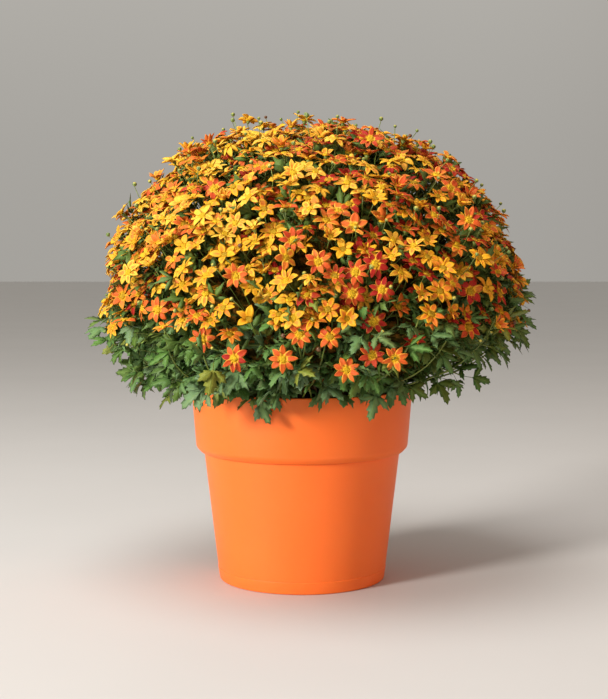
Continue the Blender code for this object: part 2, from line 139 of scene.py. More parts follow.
def ripples(points, length, seed):
    """Smooth noise from -1 to 1: the mean of sines of the given wave length in random directions."""
    rng = np.random.default_rng(seed)
    waves = unit(rng.normal(size=(12, 3))) * (2 * math.pi / length)
    phases = rng.uniform(0, 2 * math.pi, 12)
    return np.clip(np.sin(points @ waves.T + phases).mean(axis=-1) * 2.4, -1, 1)


def dome_radius(z):
    span = np.where(z >= DOME_CENTRE[2], DOME_RISE, DOME_DROP)
    level = np.clip(np.abs(z - DOME_CENTRE[2]) / span, 0, 1)
    return DOME_REACH * (1 - level**DOME_POWER) ** (1 / DOME_POWER)


def dome_points(count, foot):
    """Points spread evenly by area over the dome above the foot, by the golden angle."""
    z = foot + (DOME_CENTRE[2] + DOME_RISE - foot) * np.sin(np.linspace(0, math.pi / 2, 2000))
    rho = dome_radius(z)
    area = np.cumsum(np.hypot(np.diff(z), np.diff(rho)) * (rho[1:] + rho[:-1]))
    share = np.concatenate([[0], area / area[-1]])
    index = np.arange(count)
    height = np.interp((index + 0.5) / count, share, z)
    turn = index * GOLDEN_TURN
    rho = dome_radius(height)
    return np.column_stack([rho * np.cos(turn), rho * np.sin(turn), height]) + DOME_CENTRE * [1, 1, 0]


def scattered(count, foot, rng):
    """The same points in random order."""
    points = dome_points(count, foot)
    return points[rng.permutation(len(points))]


def dome_normals(points):
    """Outward direction of the bloom surface near each point, from the slope of its formula."""
    offset = points - DOME_CENTRE
    flat = np.maximum(np.hypot(offset[:, 0], offset[:, 1]), 1e-6)
    span = np.where(offset[:, 2] > 0, DOME_RISE, DOME_DROP)
    rise = np.sign(offset[:, 2]) * np.abs(offset[:, 2] / span) ** (DOME_POWER - 1) / span
    side = (flat / DOME_REACH) ** (DOME_POWER - 1) / DOME_REACH
    return unit(np.column_stack([side * offset[:, 0] / flat, side * offset[:, 1] / flat, rise]))


def dome_level(points):
    """Below 1 inside the bloom surface and above 1 outside it."""
    p = points - DOME_CENTRE
    span = np.where(p[..., 2] >= 0, DOME_RISE, DOME_DROP)
    across = np.hypot(p[..., 0], p[..., 1]) / DOME_REACH
    return across**DOME_POWER + (np.abs(p[..., 2]) / span) ** DOME_POWER


def dome_reaches(directions, start=HEART):
    """Distance from the start to the dome along each direction, by bisection."""
    near = np.zeros(len(directions))
    far = np.full(len(directions), 0.6)
    for _ in range(30):
        middle = (near + far) / 2
        inside = dome_level(start + middle[:, None] * directions) < 1
        near = np.where(inside, middle, near)
        far = np.where(inside, far, middle)
    return near


def inside_dome(directions, share):
    """Points at a share of the way from the heart to the dome."""
    directions = unit(np.atleast_2d(directions))
    return HEART + (share * dome_reaches(directions))[:, None] * directions


def sighted(pixels):
    """Where the sight lines through some pixels of the photograph first meet the dome."""
    across = (np.array(pixels, float) - np.array(FRAME_PX) / 2) / FOCAL_PX
    c, s = math.cos(PITCH), math.sin(PITCH)
    rays = np.column_stack([across[:, 0], c - across[:, 1] * s, -s - across[:, 1] * c])
    steps = np.linspace(1.3, 1.9, 1200)
    inside = dome_level(EYE + steps[None, :, None] * rays[:, None]) < 1
    return EYE + steps[inside.argmax(axis=1)][:, None] * rays


# Closed shapes as templates of triangles, and copies of them
def copies(points, faces, uv, tint, slot):
    """Joins copies of one template: points (N, V, 3), its faces (F, 3), its uv (V, 2), tints (N, V, 4)."""
    count, size = points.shape[:2]
    index = faces[None] + size * np.arange(count)[:, None, None]
    tint = np.broadcast_to(tint, (count, size, 4))
    slots = np.full(count * len(faces), slot)
    return points.reshape(-1, 3), index.reshape(-1, 3), np.tile(uv, (count, 1)), tint.reshape(-1, 4), slots


def linked(name, data):
    made = bpy.data.objects.new(name, data)
    bpy.context.scene.collection.objects.link(made)
    return made


def make_piece(name, parts, materials):
    """Puts parts of (points, faces, uv, tint, material index) into one smooth mesh object."""
    starts = np.cumsum([0] + [len(part[0]) for part in parts])
    points = np.concatenate([part[0] for part in parts])
    faces = np.concatenate([part[1] + start for part, start in zip(parts, starts)]).astype(np.int32)
    uv = np.concatenate([part[2] for part in parts])
    mesh = bpy.data.meshes.new(name)
    mesh.vertices.add(len(points))
    mesh.loops.add(faces.size)
    mesh.polygons.add(len(faces))
    mesh.vertices.foreach_set("co", points.astype(np.float32).ravel())
    mesh.loops.foreach_set("vertex_index", faces.ravel())
    mesh.polygons.foreach_set("loop_start", np.arange(0, faces.size, 3, dtype=np.int32))
    mesh.polygons.foreach_set("material_index", np.concatenate([part[4] for part in parts]).astype(np.int32))
    mesh.polygons.foreach_set("use_smooth", np.ones(len(faces), bool))
    mesh.update()
    mesh.uv_layers.new(name="UVMap").data.foreach_set("uv", uv[faces.ravel()].astype(np.float32).ravel())
    tint = mesh.color_attributes.new("tint", "FLOAT_COLOR", "POINT")
    tint.data.foreach_set("color", np.concatenate([part[3] for part in parts]).astype(np.float32).ravel())
    for material in materials:
        mesh.materials.append(material)
    made = linked(name, mesh)
    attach(made, "root")
    return made


def blade_form(rows, columns):
    """A thin closed blade: a grid of rows by columns above, and one rib line below that shares its rim.
    Each row is (share of length, share of half width, forward shift of its rim)."""
    rows = np.array(rows, float)
    count = len(rows)
    t = np.linspace(-1, 1, columns)
    s = rows[:, :1] + rows[:, 2:] * np.abs(t) ** 2
    upper = np.arange(count * columns).reshape(count, columns)
    under = count * columns + np.arange(count - 2)
    a, b, c, d = upper[:-1, :-1], upper[1:, :-1], upper[1:, 1:], upper[:-1, 1:]
    faces = [np.stack([a, b, c], -1).reshape(-1, 3), np.stack([a, c, d], -1).reshape(-1, 3)]
    left, right = upper[1:-1, 0], upper[1:-1, -1]
    lower = [(left[:-1], under[:-1], under[1:]), (left[:-1], under[1:], left[1:])]
    lower += [(under[:-1], right[:-1], right[1:]), (under[:-1], right[1:], under[1:])]
    faces += [np.stack(sides, -1) for sides in lower]
    root, tip = upper[0], upper[-1]
    ends = [(root[k], root[k + 1], under[0]) for k in range(columns - 1)]
    ends += [(tip[k + 1], tip[k], under[-1]) for k in range(columns - 1)]
    ends += [(root[0], under[0], left[0]), (root[-1], right[0], under[0])]
    ends += [(left[-1], under[-1], tip[0]), (under[-1], right[-1], tip[-1])]
    faces.append(np.array(ends))
    return {
        "s": np.concatenate([s.ravel(), rows[1:-1, 0]]),
        "t": np.concatenate([np.tile(t, count), np.zeros(count - 2)]),
        "half": np.concatenate([np.repeat(rows[:, 1], columns), rows[1:-1, 1]]),
        "under": np.concatenate([np.zeros(count * columns), np.ones(count - 2)]),
        "faces": np.concatenate(faces),
    }


def arc(length, lift, curl, s):
    """Place and slope at share s of a circular arc that starts at angle lift and turns down by curl."""
    curl = np.where(np.abs(curl) < 0.02, 0.02, curl)
    slope = lift - curl * s
    ahead = (np.sin(lift) - np.sin(slope)) / curl * length
    above = (np.cos(slope) - np.cos(lift)) / curl * length
    return ahead, above, slope


def blades(form, root, along, face, size, bend, relief, slot, tint):
    """Copies of a blade. Its midline is a circular arc that leaves the root at the angle bend[0] over
    the along direction and turns down through bend[1]. Across it, the surface rises with the square of
    the distance from the midline (fold), stands proud in a ridge on each half, waves, and is rolled.
    size is (length, width, thickness), relief is (fold, ridge, wave, roll), all arrays of one value
    for each blade."""
    length, width, thick = (np.asarray(v)[:, None] for v in size)
    lift, curl = (np.asarray(v)[:, None] for v in bend)
    fold, ridge, wave, roll = (np.asarray(v)[:, None] for v in relief)
    s, t, half, under = (form[key][None] for key in ("s", "t", "half", "under"))
    ahead, above, slope = arc(length, lift, curl, s)
    across = t * half * width / 2
    proud = width * half * (fold * t**2 + ridge * np.sin(math.pi * np.abs(t)))
    proud = proud + wave * width * np.abs(t) * np.sin(9 * s + 40 * roll)
    proud = proud - under * thick
    y = across * np.cos(roll) - proud * np.sin(roll)
    z = across * np.sin(roll) + proud * np.cos(roll)
    side = np.cross(face, along)
    points = root[:, None] + (ahead - z * np.sin(slope))[..., None] * along[:, None]
    points = points + (above + z * np.cos(slope))[..., None] * face[:, None] + y[..., None] * side[:, None]
    uv = np.column_stack([form["t"] / 2 + 0.5, form["s"]])
    tint = np.repeat(tint[:, None], points.shape[1], axis=1)
    tint[..., 3] = under
    return copies(points, form["faces"], uv, tint, slot)


def compound_leaves(forms, root, along, face, length, breadth, bend, tint, rng):
    """Leaves of three leaflets: an end one on its stalk, and a pair that leave the same arc at FORK of
    its length and open to either side."""
    total = len(root)
    lift, curl = bend
    ahead, above, slope = arc(length, lift, curl, FORK)
    fork = root + ahead[:, None] * along + above[:, None] * face
    on = np.cos(slope)[:, None] * along + np.sin(slope)[:, None] * face
    up = np.cos(slope)[:, None] * face - np.sin(slope)[:, None] * along
    side = np.cross(face, along)

    def relief():
        return (
            rng.uniform(0.04, 0.24, total),
            np.zeros(total),
            rng.uniform(0.0, 0.06, total),
            rng.normal(0, 0.22, total),
        )

    thick = np.full(total, BLADE_THICKNESS)
    parts = [blades(forms[0], root, along, face, (length, breadth, thick), bend, relief(), LEAVES, tint)]
    for hand in (1.0, -1.0):
        open_by = rng.uniform(0.75, 1.15, total)[:, None]
        way = np.cos(open_by) * on + hand * np.sin(open_by) * side
        size = (length * rng.uniform(0.42, 0.56, total), breadth * rng.uniform(0.70, 0.88, total), thick)
        droop = (rng.uniform(-0.1, 0.25, total), rng.uniform(0.1, 0.8, total))
        parts.append(blades(forms[1], fork, way, up, size, droop, relief(), LEAVES, tint))
    return parts


def ring_faces(rows, sides):
    """Triangles between rows of ring points, closed by fans to the two poles that follow them."""
    index = np.arange(rows * sides).reshape(rows, sides)
    a, b = index[:-1], np.roll(index[:-1], -1, axis=1)
    c, d = np.roll(index[1:], -1, axis=1), index[1:]
    low, high = rows * sides, rows * sides + 1
    faces = [np.stack([a, b, c], -1).reshape(-1, 3), np.stack([a, c, d], -1).reshape(-1, 3)]
    faces.append(np.stack([np.full(sides, low), np.roll(index[0], -1), index[0]], -1))
    faces.append(np.stack([np.full(sides, high), index[-1], np.roll(index[-1], -1)], -1))
    return np.concatenate(faces)


def ring_uv(rows, sides):
    """UV of those points: the share of a turn and the share of the rows."""
    turn = np.arange(sides) * (2 * math.pi / sides)
    u = np.concatenate([np.tile(turn / (2 * math.pi), rows), [0.5, 0.5]])
    v = np.concatenate([np.repeat(np.linspace(0, 1, rows), sides), [0, 1]])
    return np.column_stack([u, v])


def turned_form(profile, sides, bumps=0.0):
    """A closed turned shape from the (radius, height) rows of its side, with a pole at each end.
    Every other point is raised by the share bumps of its radius, which makes florets or bracts."""
    profile = np.array(profile, float)
    turn = np.arange(sides) * (2 * math.pi / sides)
    rows = len(profile) - 2
    ring = np.stack([np.cos(turn), np.sin(turn)], -1)
    body = profile[1:-1, :1, None] * ring[None]
    odd = np.where((np.arange(sides)[None] + np.arange(rows)[:, None]) % 2 == 0, bumps, -bumps)
    height = profile[1:-1, 1:2] + odd * profile[1:-1, :1]
    points = np.concatenate([body, height[..., None]], -1).reshape(-1, 3)
    points = np.concatenate([points, [[0, 0, profile[0, 1]], [0, 0, profile[-1, 1]]]])
    return points, ring_faces(rows, sides), ring_uv(rows, sides)


def turned_copies(form, centres, axes, turns, scales, slot, tint):
    """Copies of a turned shape, each on its own centre and axis."""
    points, faces, uv = form
    side, up = upright_pair(axes, turns)
    frame_of = np.stack([side, up, axes], 1)
    placed = centres[:, None] + scales[:, None, None] * np.einsum("vk,nkc->nvc", points, frame_of)
    return copies(placed, faces, uv, tint[:, None], slot)


def tubes(paths, radii, sides, slot, tint):
    """Closed tubes with pointed ends along N paths of K points each: paths (N, K, 3), radii (N, K)."""
    along = unit(np.gradient(paths, axis=1))
    bow = np.cross(paths[:, -1] - paths[:, 0], [0.43, 0.31, 0.85])
    side = squared(bow[:, None], along)
    up = np.cross(along, side)
    turn = np.arange(sides) * (2 * math.pi / sides)
    ring = np.cos(turn)[:, None] * side[:, :, None] + np.sin(turn)[:, None] * up[:, :, None]
    body = paths[:, :, None] + radii[..., None, None] * ring
    count, rows = paths.shape[:2]
    points = np.concatenate([body.reshape(count, -1, 3), paths[:, :1], paths[:, -1:]], axis=1)
    return copies(points, ring_faces(rows, sides), ring_uv(rows, sides), tint[:, None], slot)


def bezier(points, steps):
    """Curves through N sets of four control points (N, 4, 3), sampled at even parameters."""
    q = np.linspace(0, 1, steps)[:, None]
    weights = np.concatenate([(1 - q) ** 3, 3 * q * (1 - q) ** 2, 3 * q**2 * (1 - q), q**3], axis=1)
    return np.einsum("kw,nwc->nkc", weights, points)


# Forms of the repeated pieces
PETAL = blade_form(
    [(0, 0.58, 0), (0.20, 0.86, 0), (0.43, 1.0, 0), (0.65, 0.87, 0), (0.85, 0.47, 0), (1, 0.05, 0)],
    5,
)
DEEP_PETAL = blade_form([(0, 0.56, 0), (0.42, 1.0, 0), (0.79, 0.60, 0), (1, 0.04, 0)], 3)
DISC = turned_form([(0, -0.06), (0.25, -0.02), (0.29, 0.07), (0.17, 0.14), (0, 0.11)], 8, 0.12)
CALYX = turned_form([(0, -0.40), (0.09, -0.34), (0.20, -0.12), (0, -0.01)], 6)
BUD = turned_form([(0, -1.0), (0.55, -0.85), (1.0, -0.15), (0.86, 0.45), (0.40, 0.76), (0, 0.80)], 7, 0.05)

# Leaflets with pointed teeth, as (share of length, share of half width, forward shift of the rim)
FORK = 0.36
END_LEAFLET = blade_form(
    [(0, 0.05, 0), (0.32, 0.06, 0), (0.42, 0.46, 0), (0.54, 0.92, 0.03), (0.60, 0.66, 0)]
    + [(0.71, 0.98, 0.05), (0.77, 0.60, 0), (0.87, 0.62, 0.05), (0.91, 0.40, 0), (1, 0.05, 0)],
    3,
)
SIDE_LEAFLET = blade_form(
    [(0, 0.08, 0), (0.16, 0.44, 0), (0.38, 0.94, 0.05), (0.46, 0.64, 0)]
    + [(0.66, 0.84, 0.07), (0.74, 0.46, 0), (1, 0.04, 0)],
    3,
)
SLIM_END = blade_form(
    [(0, 0.06, 0), (0.34, 0.08, 0), (0.50, 0.62, 0), (0.66, 1.0, 0.06), (0.74, 0.55, 0), (1, 0.03, 0)],
    3,
)
SLIM_SIDE = blade_form([(0, 0.10, 0), (0.45, 0.90, 0), (0.70, 0.75, 0.05), (1, 0.03, 0)], 3)


# Where the blooms stand and how they look
def thrown(candidates, spacing, count, kept):
    """Keeps each candidate that has no kept neighbour within its own spacing."""
    kept = list(kept)
    start = len(kept)
    for point, gap in zip(candidates, spacing):
        if len(kept) - start == count:
            break
        if not kept or np.linalg.norm(np.array(kept) - point, axis=1).min() > gap:
            kept.append(point)
    return np.array(kept[start:]).reshape(-1, 3)


def bloom_colours(centres, shares, rng):
    """Tint of each bloom: how far the flush spreads, how red it is, and how pale its yellow is. Warmth
    is highest two thirds of the way out on the right, low at the far right and negative on the left.
    It is partly the blooms' own colour, partly painted shade on the shaded right and partly painted
    light on the lit left. Low blooms are more flushed and less pale, and those at the top paler,
    partly as painted light from above."""
    count = len(centres)
    right = centres[:, 0] / DOME_REACH
    # Partly the blooms' own colour and partly painted shade and light: blooms on the shaded right are made
    # more orange and red, and those on the lit left paler and yellower.
    warmth_and_shade = np.interp(right, [-1, 0, 0.65, 1], [-0.5, 0, 0.65, 0.1])
    low = np.interp(centres[:, 2], [0.33, 0.46], [1, 0])
    high = np.interp(centres[:, 2], [0.50, 0.56], [0, 1])
    shift = 0.13 * warmth_and_shade + 0.04 * low * np.clip(right, 0, 1)
    kind = np.searchsorted(np.cumsum(shares)[:3], rng.uniform(size=count) + shift)
    flush = np.choose(kind, [rng.uniform(0.10, 0.90, count), rng.uniform(0.75, 1.0, count), 1.0, 1.0])
    red = np.choose(kind, [0.20, rng.uniform(0.25, 0.60, count), rng.uniform(0.60, 0.92, count), 1.0])
    red = np.clip(red + 0.20 * warmth_and_shade * (kind < 3), 0, 1)
    # At the top the blooms are made paler and the yellow ones less flushed, partly as painted light from
    # above.
    pale = rng.normal(0.52, 0.32, count) - 0.38 * warmth_and_shade - 0.3 * (kind > 1) - 0.25 * low + 0.20 * high
    flush = flush + 0.26 * warmth_and_shade + 0.22 * low - 0.14 * high * (kind == 0)
    return np.column_stack([np.clip(flush, 0, 1), red, np.clip(pale, 0, 1), np.zeros(count)])


def crown_shape(normals):
    """How far the dome stands proud of the even one: drawn in a little all over, more at its upper
    right and left and at the middle of its right side, and swollen low on the right and at the left
    of its top."""
    shoulder = np.interp(normals @ unit([0.82, 0, 0.57]), [0.50, 0.92], [-0.0035, -0.0110])
    shoulder = shoulder + np.interp(normals @ unit([-0.80, 0, 0.60]), [0.60, 0.95], [0, -0.006])
    low_right = np.interp(normals @ unit([1.0, 0, -0.35]), [0.75, 1.0], [0, 0.006])
    low_right = low_right + np.interp(normals @ unit([1.0, 0, 0.22]), [0.80, 1.0], [0, -0.009])
    return shoulder + low_right + np.interp(normals @ unit([-0.35, 0, 0.94]), [0.85, 0.98], [0, 0.003])


def bloom_plan():
    """Every bloom's centre, axis, radius, colour, petal count, lift and curl: those whose place the
    photograph shows plainly, the outer layer, and an inner layer that shows in its gaps."""
    rng = np.random.default_rng(77)
    told = np.concatenate([sighted(pixels) for pixels in RED_BLOOMS_PX.values()])
    even = scattered(12000, DOME_FOOT_Z, rng)
    hem = 0.020 * np.clip(even[:, 0] / DOME_REACH, 0, 1) + 0.018 * np.clip(-even[:, 0] / 0.16, 0, 1)
    even = even[even[:, 2] > DOME_FOOT_Z + hem]
    thin = np.interp(even[:, 2], [0.31, 0.36, 0.42, 0.52, 0.56], [1.50, 1.12, 1.0, 1.0, 0.92])
    low_right = np.clip(0.15 + even[:, 0] / 0.2, 0.15, 1) * np.interp(even[:, 2], [0.33, 0.43], [1, 0])
    high_right = np.clip(even[:, 0] / 0.2, 0, 1) * np.interp(even[:, 2], [0.40, 0.48], [0, 1])
    patchy = 1 + 0.26 * ripples(even, 0.085, 5) + 0.55 * low_right + 0.14 * high_right
    patchy = BLOOM_SPACING * thin * patchy
    outer = thrown(even, patchy, OUTER_BLOOMS, told)
    low = scattered(3000, HEM_FOOT_Z, rng)
    low = low[low[:, 2] < DOME_FOOT_Z + 0.01]
    low = low[low[:, 2] > HEM_FOOT_Z + 0.040 * np.clip(np.abs(low[:, 0]) / 0.14, 0, 1)]
    low = thrown(low, np.full(len(low), HEM_SPACING), HEM_BLOOMS, np.concatenate([told, outer]))
    high = even[even[:, 2] > 0.335]
    inner_gap = np.interp(high[::-1, 2], [0.44, 0.54], [0.0214, 0.0188])
    inner = thrown(high[::-1], inner_gap, INNER_BLOOMS, [])
    outer = np.concatenate([told, outer, low])
    normals = dome_normals(outer)
    depth = rng.uniform(-0.014, 0.001, len(outer)) + 0.005 * ripples(outer, 0.10, 12)
    depth = depth + 0.009 * (rng.uniform(size=len(outer)) < 0.12) + crown_shape(normals)
    outer = outer + normals * depth[:, None]
    inner = inner - dome_normals(inner) * rng.uniform(0.012, 0.030, (len(inner), 1))
    centres = np.concatenate([outer, inner])
    count, first = len(centres), len(told)
    facing = 0.70 * dome_normals(centres) + [0, 0, 0.42] + rng.normal(0, 0.21, (count, 3))
    facing[:first] = 0.55 * unit(EYE - centres[:first]) + 0.45 * normals[:first] + [0, 0, 0.12]
    colours = bloom_colours(centres, [0.41, 0.30, 0.24, 0.05], rng)
    colours[len(outer) :] = bloom_colours(inner, [0.22, 0.30, 0.36, 0.12], rng)
    looks = {"deep": (1.0, 1.0, 0.3, 0.0), "red": (1.0, 0.86, 0.4, 0.0), "warm": (1.0, 0.70, 0.4, 0.0)}
    colours[:first] = np.concatenate([[looks[kind]] * len(found) for kind, found in RED_BLOOMS_PX.items()])
    petals = rng.choice(PETAL_COUNTS, size=count, p=PETAL_CHANCES)
    petals[:first] = 8
    lift = np.radians(rng.normal(22, 10, count))
    curl = np.radians(rng.normal(38, 14, count))
    mood = rng.uniform(size=count)
    mood[:first] = 1
    lift = np.where(mood < 0.07, np.radians(60), np.where(mood < 0.13, np.radians(-12), lift))
    radius = BLOOM_RADIUS * np.clip(rng.normal(1.0, 0.08, count), 0.80, 1.15)
    radius[:first] = 1.04 * BLOOM_RADIUS
    return {
        "centre": centres,
        "axis": unit(facing),
        "radius": radius,
        "colour": colours,
        "petals": petals,
        "lift": lift,
        "curl": curl,
        "turn": rng.uniform(0, 2 * math.pi, count),
        "outer": np.arange(count) < len(outer),
    }


def chosen(plan, mask):
    return {key: value[mask] for key, value in plan.items()}


def petal_part(form, plan, rng):
    """The petals of some blooms, in a ring on their axes. Every other one stands a little higher."""
    holder = np.repeat(np.arange(len(plan["centre"])), plan["petals"])
    order = np.concatenate([np.arange(n) for n in plan["petals"]])
    total = len(holder)
    number = np.maximum(plan["petals"][holder], 5)
    radius = plan["radius"][holder]
    turn = plan["turn"][holder] + 2 * math.pi * order / number + rng.normal(0, 0.08, total)
    axis = plan["axis"][holder]
    side, _ = upright_pair(axis, turn)
    odd = np.where(order % 2 == 0, 1.0, -1.0)
    root = plan["centre"][holder] + 0.15 * radius[:, None] * side + (0.014 * odd * radius)[:, None] * axis
    length = 0.90 * radius * rng.normal(1, 0.06, total)
    width = radius * np.interp(number, [5, 6, 7, 8], [0.63, 0.56, 0.51, 0.47]) * rng.normal(1, 0.08, total)
    lift = plan["lift"][holder] + rng.normal(0, 0.11, total) + 0.05 * odd
    curl = plan["curl"][holder] + rng.normal(0, 0.20, total)
    relief = (
        rng.normal(0.12, 0.06, total),
        rng.uniform(0.04, 0.09, total),
        rng.uniform(0.0, 0.06, total),
        rng.normal(0, 0.20, total),
    )
    tint = plan["colour"][holder] + rng.normal(0, 1, (total, 4)) * [0.19, 0.08, 0.09, 0]
    size = (length, width, BLADE_THICKNESS + 0.02 * width)
    return blades(form, root, side, axis, size, (lift, curl), relief, PETALS, tint)


def bloom_parts(plan, rng):
    """Petals, disc and calyx of some blooms. Those of the inner layer have plainer petals."""
    parts = [petal_part(PETAL, chosen(plan, plan["outer"]), rng)]
    if not plan["outer"].all():
        parts.append(petal_part(DEEP_PETAL, chosen(plan, ~plan["outer"]), rng))
    placed = (plan["centre"], plan["axis"], plan["turn"], plan["radius"])
    parts.append(turned_copies(DISC, *placed, DISCS, plan["colour"]))
    parts.append(turned_copies(CALYX, *placed, GREENS, stem_tint(len(plan["centre"]), 0.3, rng)))
    return parts


def stem_tint(count, woody, rng):
    """Tint of stems: how woody and reddish, and how light."""
    rows = [np.clip(rng.normal(woody, 0.12, count), 0, 1), rng.uniform(0, 1, count), rng.uniform(0, 1, count)]
    return np.column_stack(rows + [np.zeros(count)])


def leaf_tint(count, light, olive, grey, rng):
    """Tint of leaves: how light, how olive or yellow, and how much painted grey sheen, a painted reflection,
    they have.
    """
    rows = [np.clip(rng.normal(light, 0.18, count), 0, 1)]
    rows.append(olive + (1 - olive) * rng.uniform(0, 1, count) ** 3)
    rows.append(grey * rng.uniform(0, 1, count) ** 2)
    return np.column_stack(rows + [np.zeros(count)])


def stalk_paths(centres, axes, start, share, steps, rng):
    """From under each bloom, leaving along its axis, down to a joint inside the dome."""
    top = centres - start[:, None] * axes
    heading = unit(unit(centres - HEART) + rng.normal(0, 0.05, centres.shape))
    joint = inside_dome(heading, share + rng.uniform(-0.04, 0.04, len(centres)))
    control = np.stack([top, top - 0.020 * axes, joint + 0.022 * heading, joint], axis=1)
    return bezier(control, steps)


def stalk_parts(paths, radius, tint):
    """Thin stalks that thicken a little towards the joint."""
    radii = radius[:, None] * np.linspace(0.85, 1.15, paths.shape[1])
    return tubes(paths, radii, 3, GREENS, tint)


def bud_plan():
    """Small closed buds that stand on thin stalks a little above the blooms."""
    rng = np.random.default_rng(31)
    even = scattered(4000, DOME_FOOT_Z, rng)
    centres = thrown(even, np.full(len(even), BUD_SPACING), BUDS, [])
    normals = dome_normals(centres)
    proud = rng.uniform(-0.010, 0.018, len(centres)) + np.interp(normals[:, 2], [0.5, 0.9], [0, 0.007])
    centres = centres + normals * (proud + crown_shape(normals))[:, None]
    axes = unit(0.6 * normals + [0, 0, 0.5] + rng.normal(0, 0.3, centres.shape))
    return {
        "centre": centres,
        "axis": axes,
        "radius": rng.uniform(0.0020, 0.0031, len(centres)),
        "turn": rng.uniform(0, 6, len(centres)),
    }


def bud_parts(plan, rng):
    count = len(plan["centre"])
    placed = (plan["centre"], plan["axis"], plan["turn"], plan["radius"])
    tint = stem_tint(count, 0.0, rng)
    paths = stalk_paths(plan["centre"], plan["axis"], 1.1 * plan["radius"], JOINT_SHARE, STALK_STEPS, rng)
    stalks = stalk_parts(paths, np.full(count, 0.0006), stem_tint(count, 0.1, rng))
    return [turned_copies(BUD, *placed, LEAVES + 1, tint), stalks]


# Sprays
def packed_points(name):
    """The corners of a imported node."""
    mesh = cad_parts[name].data
    points = np.empty(3 * len(mesh.vertices))
    mesh.vertices.foreach_get("co", points)
    return points.reshape(-1, 3)


def spray_headings():
    """Mean direction from the heart of each packed spray's outer points."""
    found = {}
    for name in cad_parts:
        if name.startswith("bloom_spray"):
            arms = packed_points(name) - HEART
            reach = np.linalg.norm(arms, axis=1)
            found[name] = unit(arms[reach > 0.8 * reach.max()].mean(axis=0))
    return found


def nearest_spray(points, headings):
    return np.argmax(unit(points - HEART) @ headings.T, axis=1)


def spray_leaf_parts(paths, heading, rng):
    """Slim cut leaves that grow from the stalks and reach out between the blooms: more of them on the
    right, most of all low down, and fewer at the top."""
    count = len(paths)
    share = 1.18 + 1.25 * np.clip(heading[0], 0, 1) * np.interp(heading[2], [0.2, 0.9], [1, 0.4])
    share = share - np.interp(heading[2], [0.5, 0.9], [0, 0.12])
    holder = np.repeat(np.arange(count), 2)[rng.permutation(2 * count)[: int(share * count)]]
    total = len(holder)
    spot = rng.uniform(0.25, 0.92, total) * (paths.shape[1] - 1)
    low = spot.astype(int)
    part = (spot - low)[:, None]
    root = paths[holder, low] * (1 - part) + paths[holder, np.minimum(low + 1, paths.shape[1] - 1)] * part
    heading = unit(root - HEART)
    aside = unit(np.cross(heading, rng.normal(size=(total, 3))))
    along = unit(0.68 * heading + 0.80 * aside + [0, 0, 0.1])
    face = heading + rng.normal(0, 0.30, (total, 3))
    face = squared(face, along)
    length = rng.uniform(0.030, 0.044, total)
    breadth = 0.26 * length * rng.normal(1, 0.15, total)
    bend = (rng.uniform(0.0, 0.5, total), rng.uniform(0.2, 1.1, total))
    tint = leaf_tint(total, 0.42, 0.42, 0.3, rng)
    return compound_leaves((SLIM_END, SLIM_SIDE), root, along, face, length, breadth, bend, tint, rng)


def main_stem_parts(name, heading, rng):
    """Slim stems that stand together in the spray's hole in the mix and fan out under its blooms."""
    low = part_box(name)[0]
    points = packed_points(name)
    foot = points[points[:, 2] < low[2] + 0.001].mean(axis=0)
    count = MAIN_STEMS
    start = foot + np.array([0, 0, SOIL_TOP_Z - foot[2] - STEM_SINK])
    start = start + rng.normal(0, 0.004, (count, 3)) * [1, 1, 0]
    ends = inside_dome(heading + rng.normal(0, 0.13, (count, 3)), JOINT_SHARE)
    middle = start + [0, 0, 0.05]
    control = np.stack([start, middle, (middle + ends) / 2 + rng.normal(0, 0.008, ends.shape), ends], axis=1)
    paths = bezier(control, MAIN_STEM_STEPS)
    radii = rng.uniform(0.0011, 0.0018, (count, 1)) * np.linspace(1.3, 0.8, MAIN_STEM_STEPS)
    return tubes(paths, radii, 5, GREENS, stem_tint(count, 0.75, rng))


def make_sprays(materials):
    """One piece for each packed spray: its stems, stalks, leaves, blooms and buds."""
    blooms = bloom_plan()
    buds = bud_plan()
    headings = spray_headings()
    ways = np.array(list(headings.values()))
    owner = nearest_spray(blooms["centre"], ways)
    bud_owner = nearest_spray(buds["centre"], ways)
    for index, (name, heading) in enumerate(headings.items()):
        rng = np.random.default_rng(900 + index)
        own = chosen(blooms, owner == index)
        parts = bloom_parts(own, rng)
        paths = stalk_paths(own["centre"], own["axis"], 0.36 * own["radius"], JOINT_SHARE, STALK_STEPS, rng)
        count = len(paths)
        parts.append(stalk_parts(paths, rng.uniform(0.0006, 0.0009, count), stem_tint(count, 0.15, rng)))
        parts += spray_leaf_parts(paths, heading, rng)
        parts += bud_parts(chosen(buds, bud_owner == index), rng)
        parts.append(main_stem_parts(name, heading, rng))
        made = make_piece(name + "_in_flower", parts, materials)
        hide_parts(name)


# Skirts
def around(angle, flat, z):
    """Points at the given angles and distances round the pot's axis, at the given heights."""
    return np.column_stack([flat * np.cos(angle), flat * np.sin(angle), z])


